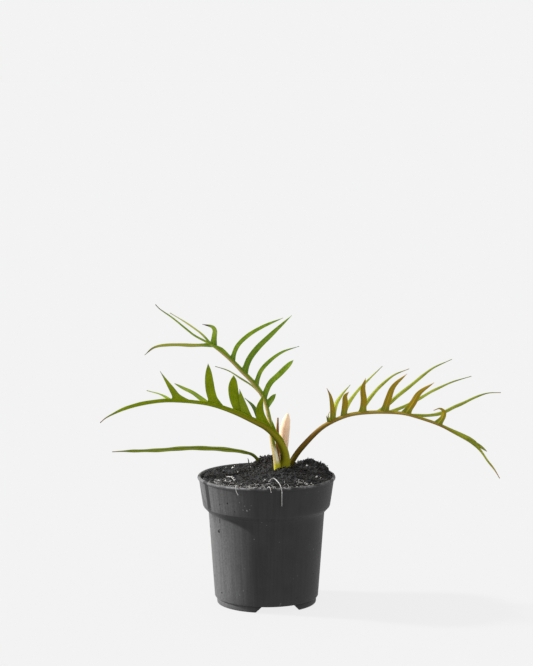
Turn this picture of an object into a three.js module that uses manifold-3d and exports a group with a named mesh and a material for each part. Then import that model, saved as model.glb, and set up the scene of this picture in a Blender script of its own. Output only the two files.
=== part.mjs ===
// Potted philodendron tortum: a young aroid with four cut leaves in a moulded nursery pot.
// Millimetres, +Z up. The origin is the middle of the pot's underside. The plant is widest
// along X, and the side that it is looked at from is -Y.

import * as THREE from 'three';
import { mergeVertices } from 'three/addons/utils/BufferGeometryUtils.js';
import Module from 'manifold-3d';

const wasm = await Module();
wasm.setup();

// Clearance between neighbouring pieces, and the thickness of a leaf's blade
const GAP = 0.3;
const BLADE = 0.8;

// The pot, as heights and outer radii from the foot up to the rolled rim
const ROUND = 60;
const POT_HEIGHT = 112;
const RIM_RADIUS = 60;
const COLLAR_TOP = { radius: 58.7, height: 109.2 };
const COLLAR_FOOT = { radius: 55.3, height: 85.6 };
const BODY_TOP = { radius: 50.4, height: 81 };
const BODY_FOOT = { radius: 45, height: 6 };
const FOOT_RING = { radius: 43.3, height: 5.2, edge: 1.2 };
const WALL = 1.5;
const FLOOR = 2;
const RIM_INSIDE = 57.6;

// Drainage: raised channels under the floor, the first one turned a little right of the front
const CHANNEL_COUNT = 3;
const CHANNEL_TURN = THREE.MathUtils.degToRad(-76);
const CHANNEL = { inner: 16, outer: 50, foot: 19.5, roof: 14.5, height: 5.2 };
const CHANNEL_WALL = 1.8;
const DRAIN = { radius: 3.5, ring: 33, spread: THREE.MathUtils.degToRad(13) };

// The soil's surface: its level at the rim, the heaps round the crown and the fuller back left
const SOIL_LEVEL = 109.5;
const HEAPS = [
  { x: 14, y: 0, wide: 26, deep: 26, height: 6.5 },
  { x: 2, y: 32, wide: 15, deep: 16, height: 11 },
  { x: 40, y: 26, wide: 16, deep: 18, height: 10 },
  { x: 51, y: 15, wide: 6, deep: 9, height: 8 },
];
const HEAP_EDGE = { from: 44, to: 57, left: 0.35 };
const BACK = { x: -34, y: 32, wide: 26, deep: 26, height: 1.5 };
const SOIL_RINGS = 12;
const SOIL_SECTORS = 48;
const CRUMB_COUNT = 150;
const CRUMB_SIZE = { low: 2.2, high: 4.2 };
const CRUMB_HEIGHT = 2.4;
const PIT_SHARE = 0.35;

// The buried stem: the height of its flat crown, where all the petioles stand
const CROWN = { x: 14, y: 12, height: 104, radius: 12.5 };
const STEM_PROFILE = [
  [0, 62],
  [5, 63],
  [7, 72],
  [8.5, 88],
  [CROWN.radius, 99],
  [CROWN.radius, CROWN.height],
  [0, CROWN.height],
];

// Every petiole and sheath is drawn from a little inside the stem and cut level just above it
const ROOTED = CROWN.height - 2;

// A leaf is a route for its petiole and midrib, the rib's radius and the two wings of blade
// along it as [share of the rib, size], the way each wing faces at the foot and at the end,
// and its lobes. A lobe starts at a share of the rib and runs through the points of its route.
const LEFT_LEAF = {
  route: [
    [15, 10, ROOTED], [16, 8, 117], [16, 6, 127], [14, 3, 136], [8, -1, 146], [0, -4, 154],
    [-12, -8, 161], [-30, -12, 170], [-50, -16, 177], [-76, -19, 180], [-91, -21, 180],
    [-110, -23, 177], [-125, -25, 172.5], [-137, -27, 167], [-142, -28, 163],
  ],
  radius: [[0, 5], [0.06, 5], [0.11, 4.3], [0.2, 3], [0.35, 2], [0.66, 1.1], [1, 0.5]],
  nearSide: [[0, -0.5, 1], [0, -0.6, 1]],
  farSide: [[0, 1, 0.1], [0, 1, -0.2]],
  nearWing: [[0.14, 0], [0.2, 2.5], [0.3, 3], [0.6, 1.5], [0.7, 2], [0.85, 2], [1, 0]],
  farWing: [[0.14, 0], [0.22, 3], [0.6, 2], [0.7, 2], [0.85, 2], [1, 0]],
  lobes: [
    { at: 0.662, route: [[-80, -26, 190.5], [-90, -39, 209]], width: 7, foot: 22, fullness: 0.9 },
    { at: 0.516, route: [[-48.5, -20, 187.5], [-50, -26, 198], [-49.5, -35, 215]], width: 9, foot: 20 },
    {
      at: 0.385,
      route: [[-24.5, -14, 178], [-29, -20, 190], [-28, -29, 204]],
      width: 9.5,
      foot: 18,
      fullness: 4,
    },
    { at: 0.372, route: [[-21, -16, 180], [-23, -22, 191]], width: 7.5, foot: 16, fullness: 2 },
    { at: 0.282, route: [[-5.5, -11, 170], [-3.5, -17, 182]], width: 8, foot: 18, fullness: 2 },
    { at: 0.229, route: [[5, -6, 161]], width: 6, foot: 14, fullness: 1 },
    { at: 0.693, route: [[-90, -4, 183], [-104, 14, 184]], width: 3.5, foot: 10, fullness: 1.5 },
    { at: 0.547, route: [[-61, -2, 183], [-80, 18, 189.5]], width: 7, foot: 12, fullness: 2.5 },
    { at: 0.302, route: [[-12, 12, 171], [-19, 22, 176]], width: 5, foot: 12, fullness: 1.5 },
  ],
};

const UPPER_LEAF = {
  route: [
    [9, 4, ROOTED], [9, 3, 117], [8, 4, 127], [6, 6, 136], [4.5, 9, 145], [3, 12, 156.5],
    [1, 14, 166], [-1.5, 15, 175], [-5.5, 15, 182], [-13, 14, 192], [-21.5, 12, 201],
    [-30.5, 9, 211], [-39.5, 6, 219.5], [-48, 3, 226], [-62, 1, 234], [-68, -1, 239],
    [-80.5, -5, 250], [-92, -9, 259], [-95, -10, 262.5],
  ],
  radius: [[0, 2.7], [0.1, 2.6], [0.2, 2], [0.34, 1.7], [0.64, 1.4], [0.74, 0.8], [1, 0.5]],
  nearSide: [[1, -0.4, 0.6], [0.6, -0.6, 0.7]],
  farSide: [[-0.5, 0.9, 0], [-0.4, 0.9, 0]],
  nearWing: [[0.3, 0], [0.36, 1.6], [0.64, 1.6], [0.7, 0.6], [0.9, 0.6], [1, 0]],
  farWing: [[0.34, 0], [0.4, 1.2], [0.64, 1.2], [0.7, 0.6], [0.9, 0.6], [1, 0]],
  lobes: [
    {
      at: 0.587,
      route: [[-25.5, 3, 224], [-17, -4, 234], [-4, -10, 243], [14, -15, 251.5]],
      width: 3.8,
      foot: 9,
    },
    {
      at: 0.511,
      route: [[-15, 7, 212.5], [-8, 1, 223], [3, -6, 235], [21.5, -14, 253.5]],
      width: 5,
      foot: 10,
    },
    {
      at: 0.437,
      route: [[-5, 8, 202], [3, 2, 212], [14, -6, 221], [28, -11, 226.5]],
      width: 3.8,
      foot: 9,
    },
    {
      at: 0.376,
      route: [[3, 9, 191], [11, 3, 200], [23, -5, 213.5]],
      width: 4.8,
      foot: 9,
      fullness: 5,
    },
    { at: 0.341, route: [[8, 8, 182]], width: 5, foot: 8, fullness: 2 },
    {
      at: 0.388,
      route: [[-13.5, 22, 187.5], [-24, 27, 193.5], [-33.5, 33, 198.5], [-45, 38, 201.5]],
      width: 3,
      foot: 7,
    },
    {
      at: 0.7,
      route: [[-65, 9, 224.5], [-86, 14, 224], [-98, 18, 221], [-106, 22, 214]],
      width: 4,
      foot: 8,
      fullness: 4,
    },
    {
      at: 0.7,
      route: [[-55.5, 5, 234.5], [-64, 8, 240.5], [-72, 11, 245.5], [-83.5, 14, 252]],
      width: 2.5,
      foot: 6,
    },
    {
      at: 0.692,
      route: [[-45, 1, 233], [-44.5, 0, 238.5], [-46.5, -2, 242], [-55, -4, 244.5]],
      width: 4.8,
      foot: 9,
    },
  ],
};

const RIGHT_LEAF = {
  route: [
    [20, 17, ROOTED], [21, 17, 117], [26.5, 17, 127.5], [35, 16, 138], [43, 15, 146.5],
    [50.5, 13, 153], [63, 10, 160], [72, 8, 163.5], [82, 6, 165.5], [101, 2, 167], [119, -3, 166.5],
    [130, -6, 164], [149, -11, 158], [162, -15, 151.5], [176, -18, 143.5], [183.5, -20, 137],
    [190, -22, 128], [196, -24, 120.5], [200, -25, 114],
  ],
  radius: [[0, 2.7], [0.15, 2.5], [0.3, 1.8], [0.5, 1.5], [0.7, 1.2], [0.82, 0.8], [1, 0.5]],
  nearSide: [[0, -0.5, 1], [0, -0.6, 0.8]],
  farSide: [[0, 1, 0.5], [0, 1, 0.2]],
  nearWing: [[0.26, 0], [0.32, 1], [0.7, 1], [0.76, 2.2], [0.82, 3.8], [0.87, 1.4], [0.95, 0.8], [1, 0]],
  farWing: [[0.26, 0], [0.32, 1], [0.7, 1], [0.76, 1.5], [0.82, 2.5], [0.87, 1], [1, 0]],
  lobes: [
    { at: 0.298, route: [[57, 5, 171], [55, -1, 182], [52, -5, 189]], width: 4.5, foot: 9 },
    { at: 0.342, route: [[68, 2, 175], [68, -3, 182], [71, -5, 186]], width: 5.5, foot: 9, fullness: 5 },
    { at: 0.414, route: [[84, -2, 178], [83, -8, 189], [85, -13, 199]], width: 5.5, foot: 10, fullness: 4 },
    { at: 0.494, route: [[105, -6, 180], [109, -13, 192], [120, -20, 204]], width: 6.5, foot: 12 },
    { at: 0.573, route: [[126, -10, 177], [131, -17, 187], [143, -24, 197]], width: 6.5, foot: 13 },
    {
      at: 0.696,
      route: [[151.5, -16, 166], [152, -18, 171], [148.5, -20, 174], [143, -21, 172.5]],
      width: 5,
      foot: 9,
    },
    { at: 0.296, route: [[60.5, 16, 171], [65, 24, 177.5], [73.5, 35, 185.5]], width: 4, foot: 7 },
    { at: 0.338, route: [[73, 20, 174], [82, 30, 183.5], [102, 45, 200.5]], width: 4, foot: 8 },
    {
      at: 0.405,
      route: [[90, 16, 177], [100, 25, 186.5], [112, 34, 194.5], [125.5, 43, 198.5]],
      width: 4,
      foot: 8,
    },
    {
      at: 0.476,
      route: [[111, 14, 176.5], [129, 25, 189], [145, 34, 200], [163, 43, 207]],
      width: 4.6,
      foot: 10,
    },
    {
      at: 0.516,
      route: [[124.5, 10, 173], [146, 21, 183], [163.5, 31, 189], [180, 39, 192.5]],
      width: 4.6,
      foot: 10,
    },
    {
      at: 0.6,
      route: [[147.5, 2, 165], [165, 12, 170.5], [192, 28, 179], [205.5, 33, 179]],
      width: 5,
      foot: 12,
    },
    { at: 0.282, route: [[52, 9, 162.5]], width: 2, foot: 4 },
    { at: 0.829, route: [[182, -20, 143], [188, -22, 138]], width: 5, foot: 8 },
  ],
};

const LOW_LEAF = {
  route: [
    [6, 17, ROOTED], [3, 20, 108], [-6, 28, 118], [-12, 27, 124.5], [-20.5, 25, 127.5],
    [-36, 21, 130.5], [-66, 12, 133.5], [-95, 2, 133.5], [-124, -8, 134.5], [-133, -11, 134.5],
  ],
  radius: [[0, 1.6], [0.2, 1.4], [0.3, 1], [1, 0.5]],
  nearSide: [[0, -1, 0], [0, -1, -0.1]],
  farSide: [[0, 1, 0.3], [0, 1, 0.1]],
  nearWing: [[0.18, 0], [0.26, 3], [0.36, 4], [0.7, 2.6], [1, 0]],
  farWing: [[0.18, 0], [0.26, 3], [0.36, 4], [0.7, 2.6], [1, 0]],
  lobes: [],
};

// The sheath round the next leaf, and the dry one beside it, as routes with their radii
const BUD_SHEATH = {
  route: [[13.5, 21, ROOTED], [13.7, 21, 117], [15.1, 20.5, 135], [16.4, 20, 150], [18.7, 20, 163]],
  radius: [[0, 3.6], [0.3, 3.6], [0.6, 4.2], [0.8, 4.2], [0.91, 3.2], [0.97, 1.6], [1, 0.5]],
};
const DRY_SHEATH = {
  route: [[9.7, 14.5, ROOTED], [10.1, 14, 117], [9.5, 14, 140], [10, 14, 160]],
  radius: [[0, 1.8], [0.7, 1.6], [1, 0.6]],
};

// Pale roots that lie on the soil and hang over the rim
const ROOT_RADIUS = 0.5;
const ROOTS = [
  [
    [2, -30, 111.8], [4, -34, 115], [6, -39, 117], [9, -46, 116], [12, -57, 113.6],
    [13, -60.3, 110], [13, -60.6, 105], [13, -58.9, 97],
  ],
  [[-23, -47, 110.6], [-25, -51.5, 113.2], [-26, -55.5, 112.5], [-25.5, -56.6, 109], [-24, -56.6, 106]],
  [[1, -51, 110.8], [2, -56, 112.9], [3, -59.5, 112.9], [4, -61.5, 109]],
  [[-34.5, -2, 110.6], [-32.5, -5.5, 111.6], [-30.5, -9, 112], [-29, -13, 111.3], [-27.7, -18, 110.6]],
];

const COLOURS = {
  pot: '#3a3a3a',
  soil: '#2c2a28',
  stem: '#6b5a32',
  leftLeaf: '#6f8010',
  upperLeaf: '#4f8a24',
  rightLeaf: '#8a8a1c',
  lowLeaf: '#648c12',
  budSheath: '#dcb494',
  drySheath: '#7a4a20',
  root: '#b8b4ac',
};
const ROUGHNESS = { pot: 0.55, soil: 0.95, woody: 0.8, leaf: 0.5, sheath: 0.6 };

function vector(point) {
  return new THREE.Vector3(...point);
}

function curve(points) {
  return new THREE.CatmullRomCurve3(points.map(vector), false, 'centripetal');
}

// The size at a share of the way, along straight lines between [share, size] pairs
function sizeAt(pairs, share) {
  const next = pairs.findIndex(([at]) => at >= share);
  if (next <= 0) return pairs[next === 0 ? 0 : pairs.length - 1][1];
  const [fromShare, fromSize] = pairs[next - 1];
  const [toShare, toSize] = pairs[next];
  return THREE.MathUtils.mapLinear(share, fromShare, toShare, fromSize, toSize);
}

// Repeatable draws between 0 and 1
function seededDraws(seed) {
  let state = seed;
  return () => {
    state = (state * 1664525 + 1013904223) % 4294967296;
    return state / 4294967296;
  };
}

function solidFrom(geometry) {
  geometry.deleteAttribute('normal');
  geometry.deleteAttribute('uv');
  const merged = mergeVertices(geometry, 1e-4);
  const index = merged.getIndex().array;
  const corners = [];
  for (let i = 0; i < index.length; i += 3) {
    const [a, b, c] = index.slice(i, i + 3);
    if (a !== b && b !== c && c !== a) corners.push(a, b, c);
  }
  const mesh = new wasm.Mesh({
    numProp: 3,
    vertProperties: new Float32Array(merged.getAttribute('position').array),
    triVerts: new Uint32Array(corners),
  });
  return new wasm.Manifold(mesh);
}

function meshFrom(name, solid, colour, roughness) {
  const { vertProperties, triVerts } = solid.getMesh();
  const geometry = new THREE.BufferGeometry();
  geometry.setAttribute('position', new THREE.BufferAttribute(vertProperties, 3));
  geometry.setIndex(new THREE.BufferAttribute(triVerts, 1));
  geometry.computeVertexNormals();
  const material = new THREE.MeshStandardMaterial({ color: colour, roughness, metalness: 0 });
  const mesh = new THREE.Mesh(geometry, material);
  mesh.name = name;
  return mesh;
}

// A closed body through rings of points. The first half of each ring is one face of a blade
// and the second half the other, and both faces are split into triangles alike.
function loft(rings) {
  const count = rings[0].length;
  const half = count / 2;
  const faces = [];
  for (let ring = 0; ring + 1 < rings.length; ring += 1) {
    for (let i = 0; i < count; i += 1) {
      const a = ring * count + i;
      const b = ring * count + ((i + 1) % count);
      const c = b + count;
      const d = a + count;
      if (i < half) faces.push(a, b, c, a, c, d);
      else faces.push(a, b, d, b, c, d);
    }
  }
  const last = (rings.length - 1) * count;
  for (let i = 0; i + 1 < half; i += 1) {
    const mirror = count - 1 - i;
    faces.push(i, mirror - 1, i + 1, i, mirror, mirror - 1);
    faces.push(last + i, last + i + 1, last + mirror - 1, last + i, last + mirror - 1, last + mirror);
  }
  const geometry = new THREE.BufferGeometry();
  const positions = rings.flat().flatMap((point) => point.toArray());
  geometry.setAttribute('position', new THREE.Float32BufferAttribute(positions, 3));
  geometry.setIndex(faces);
  return geometry;
}

// A round, tapering body along a curve
function taperedTube(path, radiusPairs, steps, sides, extra = 0) {
  const rings = [];
  for (let step = 0; step <= steps; step += 1) {
    const share = step / steps;
    const centre = path.getPointAt(share);
    const ahead = path.getTangentAt(share);
    const level = new THREE.Vector3(0, -1, 0).cross(ahead).normalize();
    const upright = ahead.clone().cross(level);
    const radius = sizeAt(radiusPairs, share) + extra;
    const ring = [];
    for (let side = 0; side < sides; side += 1) {
      const angle = (side / sides) * 2 * Math.PI;
      const point = centre.clone();
      point.addScaledVector(level, radius * Math.cos(angle));
      point.addScaledVector(upright, radius * Math.sin(angle));
      ring.push(point);
    }
    rings.push(ring);
  }
  return solidFrom(loft(rings));
}

// One cross-section of a blade, from its points on the middle plane
function bladeRing(points, normal) {
  const lift = normal.clone().multiplyScalar(BLADE / 2);
  const upper = points.map((point) => point.clone().add(lift));
  const lower = points.map((point) => point.clone().sub(lift)).reverse();
  return [...upper, ...lower];
}

// The strip of blade that runs along one side of the rib
const WING_STEPS = 16;
const RIB_COVER = 0.6;
function wing(rib, sides, widthPairs, radiusPairs) {
  const [from, to] = sides.map(vector);
  const start = widthPairs[0][0];
  const rings = [];
  for (let step = 0; step <= WING_STEPS; step += 1) {
    const share = THREE.MathUtils.lerp(start, 1, step / WING_STEPS);
    const ahead = rib.getTangentAt(share);
    const outward = from.clone().lerp(to, share);
    outward.addScaledVector(ahead, -outward.dot(ahead)).normalize();
    const centre = rib.getPointAt(share);
    const reach = RIB_COVER * sizeAt(radiusPairs, share) + sizeAt(widthPairs, share);
    const edge = centre.clone().addScaledVector(outward, reach);
    rings.push(bladeRing([edge, centre], ahead.clone().cross(outward)));
  }
  return solidFrom(loft(rings));
}

// One lobe: its foot spreads along the rib, and it folds a little along its own middle
const FLARE_LENGTH = 9;
const FLARE_SHARES = [0, 0.3, 0.65];
const BODY_SHARES = [0, 0.3, 0.6, 0.85, 1];
const LOBE_FOLD = 0.12;
const TIP_WIDTH = 0.8;
function lobe(rib, { at, route, width, foot, fullness = 2.5, flare = FLARE_LENGTH }) {
  const root = rib.getPointAt(at);
  const axis = curve([root.toArray(), ...route]);
  const flareShare = Math.min(0.6, flare / axis.getLength());
  const shares = FLARE_SHARES.map((share) => share * flareShare);
  shares.push(...BODY_SHARES.map((share) => THREE.MathUtils.lerp(flareShare, 1, share)));
  const ribLength = rib.getLength();
  let across = rib.getTangentAt(at);
  const rings = shares.map((share) => {
    const centre = axis.getPointAt(share);
    const ahead = axis.getTangentAt(share);
    across = across.clone().addScaledVector(ahead, -across.dot(ahead)).normalize();
    const normal = ahead.clone().cross(across);
    const hold = Math.max(0, 1 - share / flareShare) ** 2;
    const half = 0.5 * Math.max(TIP_WIDTH, width * Math.max(0, 1 - share ** fullness));
    const spread = hold * (0.5 * (foot - width) + half);
    const edge = (side) => {
      const along = THREE.MathUtils.clamp(at + (side * spread) / ribLength, 0, 1);
      const shift = rib.getPointAt(along).sub(root);
      return centre.clone().add(shift).addScaledVector(across, side * half * (1 - hold));
    };
    const middle = centre.clone().addScaledVector(normal, -half * LOBE_FOLD);
    return bladeRing([edge(1), middle, edge(-1)], normal);
  });
  return solidFrom(loft(rings));
}

// Cuts a foot off level, just clear of the crown that it stands on
function standing(solid) {
  return solid.trimByPlane([0, 0, 1], CROWN.height + GAP);
}

const RIB_STEPS = 24;
const RIB_SIDES = 6;
function leaf(plan) {
  const rib = curve(plan.route);
  const parts = [taperedTube(rib, plan.radius, RIB_STEPS, RIB_SIDES)];
  parts.push(wing(rib, plan.nearSide, plan.nearWing, plan.radius));
  parts.push(wing(rib, plan.farSide, plan.farWing, plan.radius));
  plan.lobes.forEach((form) => parts.push(lobe(rib, form)));
  return standing(wasm.Manifold.union(parts));
}

// A profile of [radius, height] turned round the Z axis
function turned(profile, segments = ROUND) {
  const points = profile.map(([radius, height]) => new THREE.Vector2(radius, height));
  const geometry = new THREE.LatheGeometry(points, segments);
  geometry.rotateX(Math.PI / 2);
  return solidFrom(geometry);
}

function potOutside() {
  const { radius, height, edge } = FOOT_RING;
  return [
    [0, 0],
    [radius - edge, 0],
    [radius, edge],
    [radius, height],
    [BODY_FOOT.radius, BODY_FOOT.height],
    [BODY_TOP.radius, BODY_TOP.height],
    [COLLAR_FOOT.radius, COLLAR_FOOT.height],
    [COLLAR_TOP.radius, COLLAR_TOP.height],
    [RIM_RADIUS - 0.5, COLLAR_TOP.height + 0.3],
    [RIM_RADIUS, COLLAR_TOP.height + 1],
    [RIM_RADIUS - 0.2, POT_HEIGHT - 0.8],
    [RIM_RADIUS - 0.7, POT_HEIGHT - 0.2],
    [RIM_RADIUS - 1.4, POT_HEIGHT],
    [0, POT_HEIGHT],
  ];
}

// The room inside the pot, drawn in by a clearance, and open upwards to a given height
function potInside(clearance, top) {
  const inset = WALL + clearance;
  return [
    [0, FLOOR + clearance],
    [FOOT_RING.radius - inset - 0.3, FLOOR + clearance],
    [BODY_FOOT.radius - inset, BODY_FOOT.height + 1.5],
    [BODY_TOP.radius - inset, BODY_TOP.height + 0.6],
    [COLLAR_FOOT.radius - inset, COLLAR_FOOT.height + 0.6],
    [COLLAR_TOP.radius - inset, COLLAR_TOP.height],
    [RIM_INSIDE - clearance, POT_HEIGHT - 1.5],
    [RIM_INSIDE - clearance, top],
    [0, top],
  ];
}

// A bar with slanted sides that runs outwards under the floor, wider by the given wall
function channelBar(turn, wall) {
  const outline = new THREE.Shape([
    new THREE.Vector2(-CHANNEL.foot - wall, -1),
    new THREE.Vector2(CHANNEL.foot + wall, -1),
    new THREE.Vector2(CHANNEL.foot + wall, 0),
    new THREE.Vector2(CHANNEL.roof + wall, CHANNEL.height + wall),
    new THREE.Vector2(-CHANNEL.roof - wall, CHANNEL.height + wall),
    new THREE.Vector2(-CHANNEL.foot - wall, 0),
  ]);
  const depth = CHANNEL.outer - CHANNEL.inner + wall;
  const bar = new THREE.ExtrudeGeometry(outline, { depth, bevelEnabled: false });
  bar.translate(0, 0, CHANNEL.inner - wall);
  bar.rotateX(Math.PI / 2);
  bar.rotateZ(turn + Math.PI / 2);
  return solidFrom(bar);
}

function channels(wall) {
  const turns = Array.from({ length: CHANNEL_COUNT }, (_, i) => (i / CHANNEL_COUNT) * 2 * Math.PI);
  return wasm.Manifold.union(turns.map((turn) => channelBar(turn + CHANNEL_TURN, wall)));
}

function drainHoles() {
  const holes = [];
  for (let i = 0; i < CHANNEL_COUNT; i += 1) {
    for (const side of [-1, 1]) {
      const angle = CHANNEL_TURN + (i / CHANNEL_COUNT) * 2 * Math.PI + side * DRAIN.spread;
      const hole = new THREE.CylinderGeometry(DRAIN.radius, DRAIN.radius, 20, 16);
      hole.rotateX(Math.PI / 2);
      hole.translate(DRAIN.ring * Math.cos(angle), DRAIN.ring * Math.sin(angle), 5);
      holes.push(solidFrom(hole));
    }
  }
  return wasm.Manifold.union(holes);
}

function pot() {
  const room = turned(potInside(0, POT_HEIGHT + 5)).subtract(channels(CHANNEL_WALL));
  return turned(potOutside()).subtract(room).subtract(channels(0)).subtract(drainHoles());
}

function drawCrumbs() {
  const draw = seededDraws(7);
  return Array.from({ length: CRUMB_COUNT }, () => {
    const reach = RIM_INSIDE * Math.sqrt(draw());
    const angle = draw() * 2 * Math.PI;
    const size = THREE.MathUtils.lerp(CRUMB_SIZE.low, CRUMB_SIZE.high, draw());
    const height = CRUMB_HEIGHT * (draw() - PIT_SHARE);
    return { x: reach * Math.cos(angle), y: reach * Math.sin(angle), size, height };
  });
}

function hump({ x, y, wide, deep, height }, atX, atY) {
  return height * Math.exp(-(((atX - x) / wide) ** 2) - ((atY - y) / deep) ** 2);
}

function soilHeight(x, y, crumbs) {
  const inward = 1 - THREE.MathUtils.smoothstep(Math.hypot(x, y), HEAP_EDGE.from, HEAP_EDGE.to);
  const share = THREE.MathUtils.lerp(HEAP_EDGE.left, 1, inward);
  let height = SOIL_LEVEL + hump(BACK, x, y);
  for (const heap of HEAPS) {
    height += hump(heap, x, y) * share;
  }
  for (const crumb of crumbs) {
    const away = Math.hypot(x - crumb.x, y - crumb.y) / crumb.size;
    height += crumb.height * Math.exp(-away * away);
  }
  return height;
}

// The soil's top: rings of points round the middle, then straight down to a flat underside
function soilBlock() {
  const crumbs = drawCrumbs();
  const positions = [0, 0, soilHeight(0, 0, crumbs)];
  for (let ring = 1; ring <= SOIL_RINGS; ring += 1) {
    const reach = ((RIM_INSIDE + 2) * ring) / SOIL_RINGS;
    for (let sector = 0; sector < SOIL_SECTORS; sector += 1) {
      const angle = ((sector + 0.5 * (ring % 2)) / SOIL_SECTORS) * 2 * Math.PI;
      const x = reach * Math.cos(angle);
      const y = reach * Math.sin(angle);
      positions.push(x, y, soilHeight(x, y, crumbs));
    }
  }
  const rimStart = 1 + (SOIL_RINGS - 1) * SOIL_SECTORS;
  for (let sector = 0; sector < SOIL_SECTORS; sector += 1) {
    const at = 3 * (rimStart + sector);
    positions.push(positions[at], positions[at + 1], 0);
  }
  const bottom = positions.length / 3;
  positions.push(0, 0, 0);
  const faces = [];
  for (let sector = 0; sector < SOIL_SECTORS; sector += 1) {
    const next = (sector + 1) % SOIL_SECTORS;
    faces.push(0, 1 + sector, 1 + next);
    for (let ring = 0; ring < SOIL_RINGS; ring += 1) {
      const inner = 1 + ring * SOIL_SECTORS;
      const outer = inner + SOIL_SECTORS;
      faces.push(inner + sector, outer + sector, outer + next);
      faces.push(inner + sector, outer + next, inner + next);
    }
    const under = rimStart + SOIL_SECTORS;
    faces.push(under + sector, bottom, under + next);
  }
  const geometry = new THREE.BufferGeometry();
  geometry.setAttribute('position', new THREE.Float32BufferAttribute(positions, 3));
  geometry.setIndex(faces);
  return solidFrom(geometry);
}

const SHEATH_STEPS = 14;
const SHEATH_SIDES = 10;

// A plain hole round a foot that stands in the soil
function footHole({ route, radius }, steps, sides) {
  return taperedTube(curve(route), radius, steps, sides, 1.5 * GAP);
}

function soil() {
  const room = turned(potInside(GAP, POT_HEIGHT + 25));
  const body = soilBlock().intersect(room).subtract(channels(CHANNEL_WALL + GAP));
  const holes = [stem(GAP)];
  for (const plan of [LEFT_LEAF, UPPER_LEAF, RIGHT_LEAF, LOW_LEAF]) {
    holes.push(footHole(plan, RIB_STEPS, RIB_SIDES));
  }
  for (const plan of [BUD_SHEATH, DRY_SHEATH]) {
    holes.push(footHole(plan, SHEATH_STEPS, SHEATH_SIDES));
  }
  return body.subtract(wasm.Manifold.union(holes));
}

// The buried stem, or with a clearance the hole that it stands in, open to the feet above it
function stem(clearance = 0) {
  const profile = STEM_PROFILE.map(([radius, height]) => {
    const side = radius > 0 ? radius + clearance : 0;
    if (height === CROWN.height) return [side, height + 2 * clearance];
    return [side, height < STEM_PROFILE[2][1] ? height - clearance : height];
  });
  return turned(profile, 24).translate([CROWN.x, CROWN.y, 0]);
}

function sheath(plan) {
  return standing(taperedTube(curve(plan.route), plan.radius, SHEATH_STEPS, SHEATH_SIDES));
}

function root(points) {
  const steps = 2 * points.length;
  return taperedTube(curve(points), [[0, ROOT_RADIUS], [1, ROOT_RADIUS]], steps, 6);
}

const plant = new THREE.Group();
plant.name = 'potted_philodendron';
plant.add(meshFrom('pot', pot(), COLOURS.pot, ROUGHNESS.pot));
plant.add(meshFrom('soil', soil(), COLOURS.soil, ROUGHNESS.soil));
plant.add(meshFrom('stem', stem(), COLOURS.stem, ROUGHNESS.woody));
plant.add(meshFrom('leaf_left', leaf(LEFT_LEAF), COLOURS.leftLeaf, ROUGHNESS.leaf));
plant.add(meshFrom('leaf_upper', leaf(UPPER_LEAF), COLOURS.upperLeaf, ROUGHNESS.leaf));
plant.add(meshFrom('leaf_right', leaf(RIGHT_LEAF), COLOURS.rightLeaf, ROUGHNESS.leaf));
plant.add(meshFrom('leaf_low', leaf(LOW_LEAF), COLOURS.lowLeaf, ROUGHNESS.leaf));
plant.add(meshFrom('bud_sheath', sheath(BUD_SHEATH), COLOURS.budSheath, ROUGHNESS.sheath));
plant.add(meshFrom('dry_sheath', sheath(DRY_SHEATH), COLOURS.drySheath, ROUGHNESS.woody));
ROOTS.forEach((points, i) => {
  plant.add(meshFrom(`root_${i + 1}`, root(points), COLOURS.root, ROUGHNESS.woody));
});

export default plant;
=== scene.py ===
import math
import random
from bisect import bisect_left
from typing import NamedTuple

import bmesh
import bpy
from mathutils import Euler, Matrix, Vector, noise
from mathutils.kdtree import KDTree


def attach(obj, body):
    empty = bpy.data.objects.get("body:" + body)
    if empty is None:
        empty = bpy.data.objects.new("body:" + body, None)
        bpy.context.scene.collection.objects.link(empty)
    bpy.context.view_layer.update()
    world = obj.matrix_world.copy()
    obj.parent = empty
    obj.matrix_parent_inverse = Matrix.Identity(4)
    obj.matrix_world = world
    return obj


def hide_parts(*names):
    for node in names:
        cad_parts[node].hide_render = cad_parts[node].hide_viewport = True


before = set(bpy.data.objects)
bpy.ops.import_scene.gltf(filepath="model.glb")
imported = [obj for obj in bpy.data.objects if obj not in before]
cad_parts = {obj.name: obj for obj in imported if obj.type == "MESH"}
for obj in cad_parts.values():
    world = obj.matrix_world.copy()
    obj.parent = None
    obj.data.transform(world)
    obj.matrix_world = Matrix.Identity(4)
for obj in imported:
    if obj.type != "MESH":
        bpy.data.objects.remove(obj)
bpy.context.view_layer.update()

# Potted philodendron tortum, in metres. +Z is up and the side that the photograph shows is -Y.

# The pot, as heights and outer radii from the foot up to the rolled lip
POT_HEIGHT = 0.112
RIM_RADIUS = 0.060
RIM_INSIDE = 0.0576
COLLAR_TOP = (0.0587, 0.1092)
COLLAR_FOOT = (0.0553, 0.0856)
BODY_TOP = (0.0504, 0.081)
BODY_FOOT = (0.045, 0.006)
FOOT_RADIUS = 0.0433
WALL = 0.0015
FLOOR = 0.002
POT_SEGMENTS = 240

# Drainage: three raised channels under the floor, and two holes in the roof of each
CHANNEL_COUNT = 3
CHANNEL_TURN = math.radians(-76)
CHANNEL = {"inner": 0.016, "outer": 0.050, "foot": 0.0195, "roof": 0.0145, "height": 0.0052}
CHANNEL_WALL = 0.0018
DRAIN_RADIUS = 0.0035
DRAIN_RING = 0.033
DRAIN_SPREAD = math.radians(13)

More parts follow.
